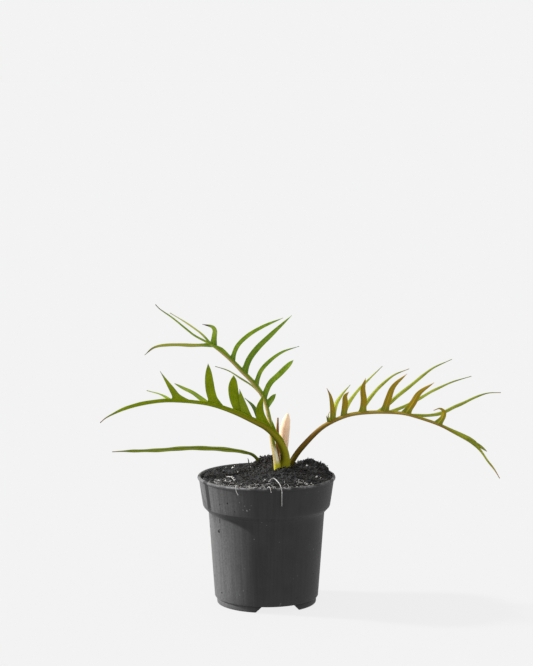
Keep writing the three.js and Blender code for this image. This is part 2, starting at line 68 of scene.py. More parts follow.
# The soil's surface: its level at the rim, the heaps round the crown and the fuller back left
SOIL_LEVEL = 0.1095
HEAPS = [
    {"x": 0.014, "y": 0.0, "wide": 0.026, "deep": 0.026, "height": 0.0065},
    {"x": 0.002, "y": 0.032, "wide": 0.015, "deep": 0.016, "height": 0.011},
    {"x": 0.040, "y": 0.026, "wide": 0.016, "deep": 0.018, "height": 0.010},
    {"x": 0.051, "y": 0.015, "wide": 0.006, "deep": 0.009, "height": 0.008},
]
HEAP_EDGE = {"from": 0.044, "to": 0.057, "left": 0.35}
BACK = {"x": -0.034, "y": 0.032, "wide": 0.026, "deep": 0.026, "height": 0.0015}
CRUMB_COUNT = 150
CRUMB_SIZE = (0.0022, 0.0042)
CRUMB_HEIGHT = 0.0024
PIT_SHARE = 0.35
SOIL_CLEARANCE = 0.0003

# A leaf's blade at its middle and at its margin, and the width from which it waves and veins fully
BLADE = 0.0007
MARGIN = 0.0003
BROAD = 0.002


class Lobe(NamedTuple):
    """A lobe of a leaf: where it starts on the rib, its size and route, and its looks."""

    at: float
    width: float
    foot: float
    route: list
    fullness: float = 2.5
    tone: float = 0
    light: float = 0
    dry: float = 0.15


# A leaf is a route for its petiole and midrib, the rib's radius and the two wings of blade
# along it as (share of the rib, size), the way each wing faces at the foot and at the end, and
# its lobes. A lobe starts at a share of the rib and runs through the points of its route. Tone
# leans to the leaf's second colour, light to a paler or deeper one, partly the lobe's own tone
# and partly painted light and shade, and dry browns the tip. Toned is how far out on a lobe
# that sets in, and deep_foot how deep its colour is before it. The rib's colour gives way over
# rib_fade, and shade, partly the petiole's own brown and partly painted shade, lies on the
# petiole's side named by under.
LEFT_LEAF = {
    "toned": (0.002, 0.012), "deep_foot": 0, "rib_fade": (0.3, 0.6), "under": (-1, 0, -1),
    "shade_kept": 0.3, "shade_edge": (0, 0.7), "near_side": [(0, -0.5, 1), (0, -0.6, 1)],
    "far_side": [(0, 1, 0.1), (0, 1, -0.2)],
    "route": [
        (0.015, 0.01, 0.102), (0.016, 0.008, 0.117), (0.016, 0.006, 0.127), (0.014, 0.003, 0.136),
        (0.008, -0.001, 0.146), (0, -0.004, 0.154), (-0.012, -0.008, 0.161), (-0.03, -0.012, 0.17),
        (-0.05, -0.016, 0.177), (-0.076, -0.019, 0.18), (-0.091, -0.021, 0.18),
        (-0.11, -0.023, 0.177), (-0.125, -0.025, 0.1725), (-0.137, -0.027, 0.167),
        (-0.142, -0.028, 0.163),
    ],
    "radius": [
        (0, 0.005), (0.06, 0.005), (0.11, 0.0043), (0.2, 0.003), (0.35, 0.002), (0.66, 0.0011),
        (0.94, 0.0006), (1, 0.0003),
    ],
    "near_wing": [
        (0.14, 0), (0.2, 0.0025), (0.3, 0.003), (0.6, 0.0015), (0.7, 0.0022), (0.8, 0.0026),
        (0.88, 0.0026), (0.94, 0.0008), (1, 0),
    ],
    "far_wing": [
        (0.14, 0), (0.22, 0.003), (0.6, 0.002), (0.7, 0.002), (0.87, 0.0024), (0.94, 0.0008),
        (1, 0),
    ],
    "lobes": [
        Lobe(0.662, 0.0082, 0.025, [(-0.08, -0.026, 0.1905), (-0.09, -0.039, 0.209)], fullness=1,
             dry=0.5),
        Lobe(0.516, 0.008, 0.022, [(-0.0475, -0.02, 0.1875), (-0.0488, -0.026, 0.198),
             (-0.0495, -0.035, 0.215)], fullness=4.5),
        Lobe(0.396, 0.0088, 0.022, [(-0.0268, -0.014, 0.18), (-0.0285, -0.02, 0.191),
             (-0.028, -0.029, 0.204)], fullness=7),
        Lobe(0.372, 0.0075, 0.016, [(-0.021, -0.016, 0.18), (-0.023, -0.022, 0.191)], fullness=2,
             light=0.12),
        Lobe(0.282, 0.008, 0.02, [(-0.0058, -0.011, 0.17), (-0.0032, -0.018, 0.1852)], fullness=3),
        Lobe(0.229, 0.006, 0.014, [(0.005, -0.006, 0.161)], fullness=1),
        Lobe(0.693, 0.0035, 0.01, [(-0.09, -0.004, 0.183), (-0.104, 0.014, 0.184)], fullness=2,
             tone=0.3, dry=0.6),
        Lobe(0.547, 0.007, 0.012, [(-0.061, -0.002, 0.183), (-0.08, 0.018, 0.1895)], fullness=7,
             tone=0.2, light=-0.25),
        Lobe(0.302, 0.0062, 0.012, [(-0.012, 0.012, 0.171), (-0.019, 0.022, 0.176)], fullness=3.5,
             tone=1, light=-0.6),
    ],
}

UPPER_LEAF = {
    "toned": (0.003, 0.014), "deep_foot": 0.45, "rib_fade": (0.62, 0.72), "under": (-1, 0, -1),
    "shade_kept": 1, "shade_edge": (-0.3, 0.3), "near_side": [(1, -0.4, 0.6), (0.6, -0.6, 0.7)],
    "far_side": [(-0.5, 0.9, 0), (-0.4, 0.9, 0)],
    "route": [
        (0.009, 0.004, 0.102), (0.009, 0.003, 0.117), (0.008, 0.004, 0.127), (0.006, 0.006, 0.136),
        (0.0045, 0.009, 0.145), (0.003, 0.012, 0.1565), (0.001, 0.014, 0.166),
        (-0.0015, 0.015, 0.175), (-0.0055, 0.015, 0.182), (-0.013, 0.014, 0.192),
        (-0.0215, 0.012, 0.201), (-0.0305, 0.009, 0.211), (-0.0395, 0.006, 0.2195),
        (-0.048, 0.003, 0.226), (-0.062, 0.001, 0.234), (-0.068, -0.001, 0.239),
        (-0.0805, -0.005, 0.25), (-0.092, -0.009, 0.259), (-0.095, -0.01, 0.2625),
    ],
    "radius": [
        (0, 0.0027), (0.1, 0.0026), (0.2, 0.002), (0.34, 0.0017), (0.64, 0.0014), (0.74, 0.0008),
        (0.94, 0.0005), (1, 0.0003),
    ],
    "near_wing": [
        (0.3, 0), (0.36, 0.0019), (0.6, 0.0019), (0.66, 0.0034), (0.71, 0.0008), (0.9, 0.0006),
        (1, 0),
    ],
    "far_wing": [
        (0.34, 0), (0.4, 0.0006), (0.6, 0.0006), (0.66, 0.0018), (0.71, 0.0006), (0.9, 0.0006),
        (1, 0),
    ],
    "lobes": [
        Lobe(0.587, 0.0038, 0.009, [(-0.0255, 0.003, 0.224), (-0.017, -0.004, 0.234),
             (-0.004, -0.01, 0.243), (0.014, -0.015, 0.2515)], fullness=4.5, dry=0.3),
        Lobe(0.511, 0.0052, 0.01, [(-0.015, 0.007, 0.2125), (-0.008, 0.001, 0.223),
             (0.003, -0.006, 0.235), (0.0215, -0.014, 0.2535)], fullness=3.6, light=-0.25),
        Lobe(0.437, 0.0038, 0.009, [(-0.005, 0.008, 0.202), (0.003, 0.002, 0.212),
             (0.014, -0.006, 0.221), (0.028, -0.011, 0.2265)], dry=0.6),
        Lobe(0.376, 0.0048, 0.009, [(0.003, 0.009, 0.191), (0.011, 0.003, 0.2),
             (0.023, -0.005, 0.2135)], fullness=12),
        Lobe(0.341, 0.005, 0.008, [(0.008, 0.008, 0.182)], fullness=5, light=-0.3),
        Lobe(0.388, 0.003, 0.007, [(-0.0135, 0.022, 0.1875), (-0.024, 0.027, 0.1935),
             (-0.0335, 0.033, 0.1985), (-0.045, 0.038, 0.2015)], tone=1, light=-0.5, dry=0.8),
        Lobe(0.7, 0.004, 0.008, [(-0.065, 0.009, 0.2245), (-0.086, 0.014, 0.224),
             (-0.098, 0.018, 0.221), (-0.106, 0.022, 0.214)], fullness=4, tone=1, dry=0.9),
        Lobe(0.7, 0.0025, 0.006, [(-0.0555, 0.005, 0.2345), (-0.064, 0.008, 0.2405),
             (-0.072, 0.011, 0.2455), (-0.0835, 0.014, 0.252)], tone=1, light=0.3, dry=0.4),
        Lobe(0.692, 0.0048, 0.009, [(-0.045, 0.001, 0.233), (-0.0445, 0, 0.2385),
             (-0.0465, -0.002, 0.242), (-0.055, -0.004, 0.2445)], light=0.3, dry=1.6),
    ],
}

RIGHT_LEAF = {
    "toned": (0, 0.013), "deep_foot": 0.45, "rib_fade": (0.72, 0.8), "under": (1, 0, -1),
    "shade_kept": 0.3, "shade_edge": (0, 0.7), "near_side": [(0, -0.5, 1), (0, -0.6, 0.8)],
    "far_side": [(0, 1, 0.5), (0, 1, 0.2)],
    "route": [
        (0.02, 0.017, 0.102), (0.021, 0.017, 0.117), (0.0265, 0.017, 0.1275), (0.035, 0.016, 0.138),
        (0.043, 0.015, 0.1465), (0.0505, 0.013, 0.153), (0.063, 0.01, 0.16), (0.072, 0.008, 0.1635),
        (0.082, 0.006, 0.1655), (0.101, 0.002, 0.167), (0.119, -0.003, 0.1665),
        (0.13, -0.006, 0.164), (0.149, -0.011, 0.158), (0.162, -0.015, 0.1515),
        (0.176, -0.018, 0.1435), (0.1835, -0.02, 0.137), (0.19, -0.022, 0.128),
        (0.196, -0.024, 0.1205), (0.2, -0.025, 0.114),
    ],
    "radius": [
        (0, 0.0027), (0.15, 0.0025), (0.3, 0.0018), (0.5, 0.0015), (0.7, 0.0012), (0.82, 0.0008),
        (0.94, 0.0006), (1, 0.0003),
    ],
    "near_wing": [
        (0.26, 0), (0.32, 0.001), (0.7, 0.001), (0.76, 0.0026), (0.82, 0.0052), (0.845, 0.0052),
        (0.87, 0.0018), (0.95, 0.0012), (1, 0),
    ],
    "far_wing": [
        (0.26, 0), (0.32, 0.001), (0.7, 0.001), (0.76, 0.0015), (0.82, 0.0025), (0.87, 0.001),
        (1, 0),
    ],
    "lobes": [
        Lobe(0.298, 0.0045, 0.007, [(0.057, 0.005, 0.171), (0.055, -0.001, 0.182),
             (0.052, -0.005, 0.189)], tone=0.9, dry=0.8),
        Lobe(0.342, 0.0052, 0.007, [(0.068, 0.002, 0.175), (0.068, -0.003, 0.182),
             (0.071, -0.005, 0.186)], fullness=5, tone=0.95),
        Lobe(0.414, 0.0055, 0.0085, [(0.084, -0.002, 0.178), (0.083, -0.008, 0.189),
             (0.085, -0.013, 0.199)], fullness=4, tone=1),
        Lobe(0.494, 0.006, 0.01, [(0.105, -0.006, 0.18), (0.109, -0.013, 0.192),
             (0.12, -0.02, 0.204)], tone=1),
        Lobe(0.573, 0.006, 0.011, [(0.126, -0.01, 0.177), (0.131, -0.017, 0.187),
             (0.143, -0.024, 0.197)], tone=1),
        Lobe(0.696, 0.005, 0.009, [(0.1515, -0.016, 0.166), (0.152, -0.018, 0.171),
             (0.1485, -0.02, 0.174), (0.143, -0.021, 0.1725)], tone=0.8, dry=0.6),
        Lobe(0.296, 0.004, 0.007, [(0.0605, 0.016, 0.171), (0.065, 0.024, 0.1775),
             (0.0735, 0.035, 0.1855)]),
        Lobe(0.338, 0.004, 0.008, [(0.073, 0.02, 0.174), (0.082, 0.03, 0.1835),
             (0.102, 0.045, 0.2005)], light=-0.2, dry=0.2),
        Lobe(0.405, 0.0038, 0.008, [(0.09, 0.016, 0.177), (0.1, 0.025, 0.1865),
             (0.112, 0.034, 0.1945), (0.1255, 0.043, 0.1985)], light=-0.25, dry=0.5),
        Lobe(0.476, 0.0042, 0.01, [(0.111, 0.014, 0.1765), (0.129, 0.025, 0.189),
             (0.145, 0.034, 0.2), (0.163, 0.043, 0.207)], light=-0.4, dry=0.3),
        Lobe(0.516, 0.0042, 0.01, [(0.1245, 0.01, 0.173), (0.146, 0.021, 0.183),
             (0.1635, 0.031, 0.189), (0.18, 0.039, 0.1925)], light=-0.4, dry=0.3),
        Lobe(0.6, 0.0044, 0.012, [(0.1475, 0.002, 0.165), (0.165, 0.012, 0.1705),
             (0.192, 0.028, 0.179), (0.2055, 0.033, 0.179)], light=-0.45, dry=0.4),
        Lobe(0.282, 0.002, 0.004, [(0.052, 0.009, 0.1625)], light=-1, dry=1),
        Lobe(0.291, 0.0016, 0.003, [(0.0535, 0.005, 0.1632), (0.0545, 0.002, 0.1672)], light=0.9,
             dry=1),
        Lobe(0.815, 0.0046, 0.014, [(0.182, -0.0205, 0.142), (0.189, -0.0225, 0.137)], fullness=5,
             light=-0.3),
    ],
}

LOW_LEAF = {
    "toned": (0, 0.01), "deep_foot": 0, "rib_fade": (0.2, 0.4), "under": (0, 0, -1),
    "shade_kept": 0.6, "shade_edge": (0, 0.7), "near_side": [(0, -1, -0.2), (0, -1, -0.2)],
    "far_side": [(0, 1, 0.3), (0, 1, 0.1)],
    "route": [
        (0.006, 0.017, 0.102), (0.003, 0.02, 0.108), (-0.006, 0.028, 0.118),
        (-0.012, 0.027, 0.1245), (-0.0205, 0.025, 0.1275), (-0.036, 0.021, 0.1305),
        (-0.066, 0.012, 0.1335), (-0.095, 0.002, 0.1335), (-0.124, -0.008, 0.1345),
        (-0.133, -0.011, 0.1345),
    ],
    "radius": [(0, 0.0016), (0.2, 0.0014), (0.3, 0.001), (0.94, 0.0005), (1, 0.0003)],
    "near_wing": [(0.18, 0), (0.26, 0.003), (0.36, 0.004), (0.7, 0.0038), (0.88, 0.0026), (1, 0)],
    "far_wing": [(0.18, 0), (0.26, 0.003), (0.36, 0.004), (0.7, 0.0038), (0.88, 0.0026), (1, 0)],
    "lobes": [],
}

# The sheath round the next leaf, and the dry one beside it
BUD_SHEATH = {
    "route": [
        (0.0135, 0.021, 0.102), (0.0137, 0.021, 0.117), (0.0151, 0.0205, 0.135),
        (0.0164, 0.02, 0.15), (0.0187, 0.02, 0.163),
    ],
    "radius": [
        (0, 0.0036), (0.3, 0.0036), (0.6, 0.0042), (0.8, 0.0042), (0.91, 0.0032), (0.97, 0.0016),
        (1, 0.0003),
    ],
}
DRY_SHEATH = {
    "route": [
        (0.0097, 0.0145, 0.102), (0.0101, 0.014, 0.117), (0.0095, 0.014, 0.14), (0.01, 0.014, 0.16),
    ],
    "radius": [(0, 0.0018), (0.7, 0.0016), (1, 0.0006)],
}

# Pale roots that lie on the soil and hang over the rim
ROOT_RADIUS = 0.00042
ROOTS = [
    [
        (0.002, -0.03, 0.1118), (0.004, -0.034, 0.115), (0.006, -0.039, 0.117),
        (0.009, -0.046, 0.116), (0.012, -0.057, 0.1136), (0.013, -0.0603, 0.11),
        (0.013, -0.0606, 0.105), (0.013, -0.0589, 0.097),
    ],
    [
        (-0.023, -0.047, 0.1106), (-0.025, -0.0515, 0.1132), (-0.026, -0.0555, 0.1125),
        (-0.0255, -0.0566, 0.109), (-0.024, -0.0566, 0.106),
    ],
    [
        (0.001, -0.051, 0.1108), (0.002, -0.056, 0.1129), (0.003, -0.0595, 0.1129),
        (0.004, -0.0615, 0.109),
    ],
    [
        (-0.0345, -0.002, 0.1106), (-0.0325, -0.0055, 0.1116), (-0.0305, -0.009, 0.112),
        (-0.029, -0.013, 0.1113), (-0.0277, -0.018, 0.1106),
    ],
]

# Loose dark sticks in the soil, as their two ends and their radius
STICKS = [
    ((0.0505, 0.022, 0.1105), (0.0508, 0.023, 0.1172), 0.0005),
    ((0.0455, 0.026, 0.116), (0.0485, 0.024, 0.1135), 0.0005),
    ((-0.006, 0.031, 0.1228), (0.003, 0.029, 0.1165), 0.0008),
    ((-0.016, 0.04, 0.113), (-0.0165, 0.041, 0.119), 0.0005),
    ((0.0205, 0.01, 0.111), (0.0225, 0.007, 0.1185), 0.0011),
    ((0.0563, 0.006, 0.1105), (0.0585, 0.004, 0.1128), 0.0004),
]

# Clods on the heaps that stand out against the background, as their place and size
CLODS = [
    ((0.0035, 0.031, 0.1205), 0.0046), ((0, 0.033, 0.119), 0.005),
    ((-0.006, 0.032, 0.1172), 0.0036), ((0.047, 0.02, 0.1165), 0.004),
    ((0.0515, 0.018, 0.1138), 0.004), ((0.042, 0.023, 0.1185), 0.0036),
    ((0.036, 0.028, 0.1188), 0.0034), ((-0.016, 0.04, 0.1125), 0.0042),
    ((-0.023, 0.043, 0.112), 0.0036),
]

# Wet specks of soil stuck to the pot, as their turn in degrees from the front, height and size
SPECKS = [
    (-56, 0.0684, 0.0026), (-54, 0.07, 0.0012), (-36, 0.0967, 0.0016), (-45, 0.0945, 0.0012),
    (-66, 0.098, 0.0008), (-58, 0.0133, 0.0016), (-45, 0.016, 0.0009), (-75, 0.0254, 0.0014),
    (-29, 0.09, 0.001), (-81, 0.0681, 0.002), (-50, 0.043, 0.0009), (60, 0.03, 0.0009),
    (140, 0.052, 0.0013), (170, 0.095, 0.001), (-150, 0.035, 0.0012), (-130, 0.088, 0.0009),
    (100, 0.076, 0.0008), (-100, 0.02, 0.0011), (35, 0.012, 0.0008), (15, 0.096, 0.0007),
    # The last four lie in a short upright row below the collar, a short dark mark
    (-53.0, 0.0795, 0.001), (-53.3, 0.0785, 0.0011), (-53.1, 0.0775, 0.0011),
    (-53.4, 0.0764, 0.001),
]

# Pale flecks of dried silt on it, in the same way
FLECKS = [
    (-18.9, 0.0958, 0.001), (-16.9, 0.0917, 0.0015), (-20.7, 0.0922, 0.001), (-14.5, 0.093, 0.001),
    (-13.0, 0.0966, 0.0009), (-23.5, 0.0985, 0.0008), (-49.3, 0.0453, 0.0011),
    (-50.0, 0.0426, 0.0012), (-42.8, 0.021, 0.0011), (-25.6, 0.0192, 0.0011),
    (-30.0, 0.015, 0.0009), (-47.0, 0.062, 0.0008), (-60.0, 0.088, 0.0009), (-155, 0.07, 0.001),
    (120, 0.04, 0.001), (80, 0.093, 0.0009),
]

# The window light: its turn from +X and its rise, and the way from the pot towards it
LIGHT_TURN = math.radians(169)
LIGHT_RISE = math.radians(35)
SUNWARD = (math.cos(LIGHT_TURN), math.sin(LIGHT_TURN), 0)
CROSSWARD = (-math.sin(LIGHT_TURN), math.cos(LIGHT_TURN), 0)

# A narrow dark band down the collar: its turn, its half width in radians from its last trace to
# full dark, and the heights over which it sets in. The lip's top is painted lighter over the last
# heights, partly wear and partly a painted highlight.
DARK_BAND_TURN = math.radians(-118)
DARK_BAND_WIDTH = (0.07, 0.045)
DARK_BAND_FOOT = (0.0845, 0.0875)
LIP_WORN_AND_HIGHLIT = (0.1101, 0.1108)

# The level of the leaves' buried feet, and the one that they are cut off at
BURIED = 0.102
CROWN_TOP = 0.1043


def linear(hex_colour):
    """A linear RGBA colour from an sRGB hex value."""
    channels = [int(hex_colour[i:i + 2], 16) / 255 for i in (1, 3, 5)]
    curved = [c / 12.92 if c <= 0.04045 else ((c + 0.055) / 1.055) ** 2.4 for c in channels]
    return (*curved, 1)


def between(low, high, share):
    return low + (high - low) * share


def smoothstep(value, low, high):
    share = min(max((value - low) / (high - low), 0), 1)
    return share * share * (3 - 2 * share)


def size_at(pairs, share):
    """The size at a share of the way, along straight lines between (share, size) pairs."""
    for (start, from_size), (end, to_size) in zip(pairs, pairs[1:]):
        if share <= end:
            return between(from_size, to_size, max(0, share - start) / (end - start))
    return pairs[-1][1]


def seeded_draws(seed):
    """Repeatable draws between 0 and 1."""
    state = seed
    while True:
        state = (state * 1664525 + 1013904223) % 4294967296
        yield state / 4294967296


def turns(count):
    """Even turns round a circle."""
    return [2 * math.pi * i / count for i in range(count)]


def polar(reach, turn, height=0):
    """The place at a distance from the Z axis, a turn round it and a height."""
    return Vector((reach * math.cos(turn), reach * math.sin(turn), height))


class Path:
    """A smooth route through points, read by its share of the length."""

    STEPS = 24

    def __init__(self, points):
        points = [Vector(point) for point in points]
        points = [2 * points[0] - points[1], *points, 2 * points[-1] - points[-2]]
        self.places = [points[1]]
        for stretch in zip(points, points[1:], points[2:], points[3:]):
            self.places += self.span(*stretch)
        self.lengths = [0]
        for start, end in zip(self.places, self.places[1:]):
            self.lengths.append(self.lengths[-1] + (end - start).length)
        self.length = self.lengths[-1]

    def span(self, before, start, end, after):
        """One span of a centripetal Catmull-Rom curve."""
        first = math.sqrt((start - before).length)
        middle = math.sqrt((end - start).length)
        last = math.sqrt((after - end).length)
        step = (end - start) / middle
        leave = (start - before) / first - (end - before) / (first + middle) + step
        arrive = step - (after - start) / (middle + last) + (after - end) / last
        leave *= middle
        arrive *= middle
        square = 3 * (end - start) - 2 * leave - arrive
        cube = 2 * (start - end) + leave + arrive
        shares = [i / self.STEPS for i in range(1, self.STEPS + 1)]
        return [start + leave * t + square * t ** 2 + cube * t ** 3 for t in shares]

    def at(self, share):
        want = min(max(share, 0), 1) * self.length
        i = max(1, min(bisect_left(self.lengths, want), len(self.lengths) - 1))
        part = (want - self.lengths[i - 1]) / (self.lengths[i] - self.lengths[i - 1])
        return self.places[i - 1].lerp(self.places[i], part)

    def ahead(self, share):
        return (self.at(share + 0.004) - self.at(share - 0.004)).normalized()


def mesh_object(name, points, faces):
    """A smooth-shaded object whose faces all look outwards."""
    mesh = bpy.data.meshes.new(name)
    mesh.from_pydata(points, [], faces)
    shaped = bmesh.new()
    shaped.from_mesh(mesh)
    bmesh.ops.recalc_face_normals(shaped, faces=shaped.faces)
    shaped.to_mesh(mesh)
    shaped.free()
    mesh.shade_smooth()
    piece = bpy.data.objects.new(name, mesh)
    bpy.context.scene.collection.objects.link(piece)
    return piece


def loft(rings):
    """The points and faces of a closed body through rings of points."""
    count = len(rings[0])
    points = [point for ring in rings for point in ring]
    faces = [tuple(range(count))]
    for start in range(0, count * (len(rings) - 1), count):
        for side in range(count):
            after = (side + 1) % count
            ahead = start + count
            faces.append((start + side, start + after, ahead + after, ahead + side))
    faces.append(tuple(range(len(points) - count, len(points))))
    return points, faces


def gather(parts):
    """Several bodies' points and faces as one list of each."""
    points = []
    faces = []
    for part_points, part_faces in parts:
        first = len(points)
        points += part_points
        faces += [tuple(first + i for i in face) for face in part_faces]
    return points, faces


def combine(base, others, operation):
    """Joins the others to the base, or cuts them from it, and leaves one closed mesh."""
    scene = bpy.context.scene
    tools = bpy.data.collections.new("tools")
    scene.collection.children.link(tools)
    for other in others:
        scene.collection.objects.unlink(other)
        tools.objects.link(other)
    change = base.modifiers.new("combine", "BOOLEAN")
    change.operation = operation
    change.solver = "MANIFOLD"
    change.operand_type = "COLLECTION"
    change.collection = tools
    graph = bpy.context.evaluated_depsgraph_get()
    made = bpy.data.meshes.new_from_object(base.evaluated_get(graph), depsgraph=graph)
    base.modifiers.clear()
    made.name = base.name
    base.data = made
    for other in others:
        bpy.data.objects.remove(other)
    bpy.data.collections.remove(tools)


def add(tree, kind, inputs=None, **settings):
    """Adds a node. An input gets a value, a socket, or a node's first output that is in use."""
    made = tree.nodes.new("ShaderNode" + kind)
    for name, value in settings.items():
        setattr(made, name, value)
    for key, value in (inputs or {}).items():
        if isinstance(value, bpy.types.Node):
            value = next(output for output in value.outputs if output.enabled)
        if isinstance(value, bpy.types.NodeSocket):
            tree.links.new(value, made.inputs[key])
        else:
            made.inputs[key].default_value = value
    return made


def new_material(name):
    """An empty node material and its tree."""
    material = bpy.data.materials.new(name)
    material.use_nodes = True
    material.node_tree.nodes.clear()
    return material, material.node_tree


def surfaced(material, relief, strength, depth, finish):
    """Ends a material with its relief, a shader with the given finish, and the output."""
    tree = material.node_tree
    bump = add(tree, "Bump", {"Height": relief, "Strength": strength, "Distance": depth})
    shader = add(tree, "BsdfPrincipled", {"Normal": bump, **finish})
    add(tree, "OutputMaterial", {"Surface": shader})
    return material


# What a fresh leaf shows: its blade's two greens, a second colour for its young or shaded lobes,
# a pale and a deep one, partly the lobes' own tone and partly painted light and shade, the
# midrib, the petiole's foot, the flush above it, the shade on its side named by under, partly
# its own brown and partly painted shade, the veins and dried tips. Rises are the heights over
# the buried foot between which the foot's colour gives way to the flush, and then the flush to
# the midrib's own.
LEAF_COLOURS = {
    "leaf_left": {
        "low": "#647600", "high": "#7f8f06", "second": "#5c7a10", "pale": "#a6b850",
        "deep": "#27401a", "rib": "#727608", "foot": "#8f8a1c", "flush": "#7a7216",
        "shade": "#2e1e02", "vein": "#8c982c", "dry": "#6a4a28",
    },
    "leaf_upper": {
        "low": "#608214", "high": "#8ea628", "second": "#9a9a3e", "pale": "#b4c058",
        "deep": "#285020", "rib": "#7c862e", "foot": "#c2ba2c", "flush": "#efe7c9",
        "shade": "#b8a068", "vein": "#98ac48", "dry": "#4a4034",
    },
    "leaf_right": {
        "low": "#7c8414", "high": "#98a030", "second": "#8e7410", "pale": "#c2bc5c",
        "deep": "#2c4414", "rib": "#8c7630", "foot": "#453804", "flush": "#6c4a18",
        "shade": "#4a3410", "vein": "#a8a048", "dry": "#946a34",
    },
    "leaf_low": {
        "low": "#4a5400", "high": "#5a6406", "second": "#5c7a10", "pale": "#a6b850",
        "deep": "#2c4a14", "rib": "#4a5804", "foot": "#50500e", "flush": "#525e0a",
        "shade": "#3a3408", "vein": "#7c8824", "dry": "#6c6030",
    },
}
LEAF_RISES = {
    "leaf_left": (0.03, 0.05, 0.06, 0.09),
    "leaf_upper": (0.019, 0.023, 0.03, 0.036),
    "leaf_right": (0.018, 0.04, 0.045, 0.062),
    "leaf_low": (0.012, 0.022, 0.026, 0.03),
}

# What is noted at every point of a leaf for its material
NOTES = ("rib", "vein", "tone", "light", "dry", "rise", "side", "across", "along")

# How far apart a leaf's side veins run
VEIN_SPACING = 0.0014


def fresh_leaf(name):
    """A living aroid leaf: a waxy cuticle gives it a soft satin gloss over uneven green."""
    colours = {part: linear(value) for part, value in LEAF_COLOURS[name].items()}
    foot_from, foot_to, flush_from, flush_to = LEAF_RISES[name]
    material, tree = new_material("fresh_" + name)
    noted = {note: add(tree, "Attribute", attribute_name=note).outputs["Fac"] for note in NOTES}
    place = add(tree, "TexCoord").outputs["Object"]
    # Cloudy green in patches of about 12 mm, and a fine mottle of about 1.5 mm
    patches = add(tree, "TexNoise", {"Vector": place, "Scale": 85, "Detail": 3})
    mottle = add(tree, "TexNoise", {"Vector": place, "Scale": 650, "Detail": 2})
    blotch = add(tree, "Math", {0: patches, 1: mottle})
    share = add(tree, "MapRange", {"Value": blotch, "From Min": 0.75, "From Max": 1.25})
    # The pale and deep colours paint light and shade on the lobes, partly over their own tone
    shade = add(tree, "Math", {0: noted["light"], 1: -1}, operation="MULTIPLY")
    # Side veins leave the middle vein slantwise
    slant = add(tree, "Math", {0: noted["across"]}, operation="ABSOLUTE")
    run = add(tree, "Math", {0: noted["along"], 1: slant}, operation="SUBTRACT")
    wave = add(tree, "Math", {0: run, 1: 2 * math.pi / VEIN_SPACING}, operation="MULTIPLY")
    stripe = add(tree, "Math", {0: wave}, operation="SINE")
    faint = add(tree, "MapRange", {"Value": stripe, "From Min": 0.3, "To Max": 0.22})
    veins = add(tree, "Math", {0: noted["vein"], 1: faint}, operation="MAXIMUM")
    blade = colours["low"]
    for mask, part in (
        (share, "high"), (noted["tone"], "second"), (noted["light"], "pale"), (shade, "deep"),
        (veins, "vein"),
    ):
        blade = add(tree, "Mix", {0: mask, 6: blade, 7: colours[part]}, data_type="RGBA")
    # Up the petiole the foot's colour gives way to the flush, and that to the midrib's own
    flushed, ribbed = (
        add(tree, "MapRange", {"Value": noted["rise"], "From Min": low, "From Max": high})
        for low, high in ((foot_from, foot_to), (flush_from, flush_to))
    )
    # Painted shade lies on the side named by under, partly over the petiole's own colour
    rib = colours["foot"]
    for mask, part in ((flushed, "flush"), (ribbed, "rib"), (noted["side"], "shade")):
        rib = add(tree, "Mix", {0: mask, 6: rib, 7: colours[part]}, data_type="RGBA")
    colour = blade
    for mask, layer in ((noted["rib"], rib), (noted["dry"], colours["dry"])):
        colour = add(tree, "Mix", {0: mask, 6: colour, 7: layer}, data_type="RGBA")
    gloss = add(tree, "MapRange", {"Value": mottle, "To Min": 0.45, "To Max": 0.6})
    relief = add(tree, "Math", {0: stripe, 1: mottle})
    return surfaced(material, relief, 0.25, 0.00012, {
        "Base Color": colour, "Roughness": gloss, "IOR": 1.45, "Specular IOR Level": 0.07,
    })


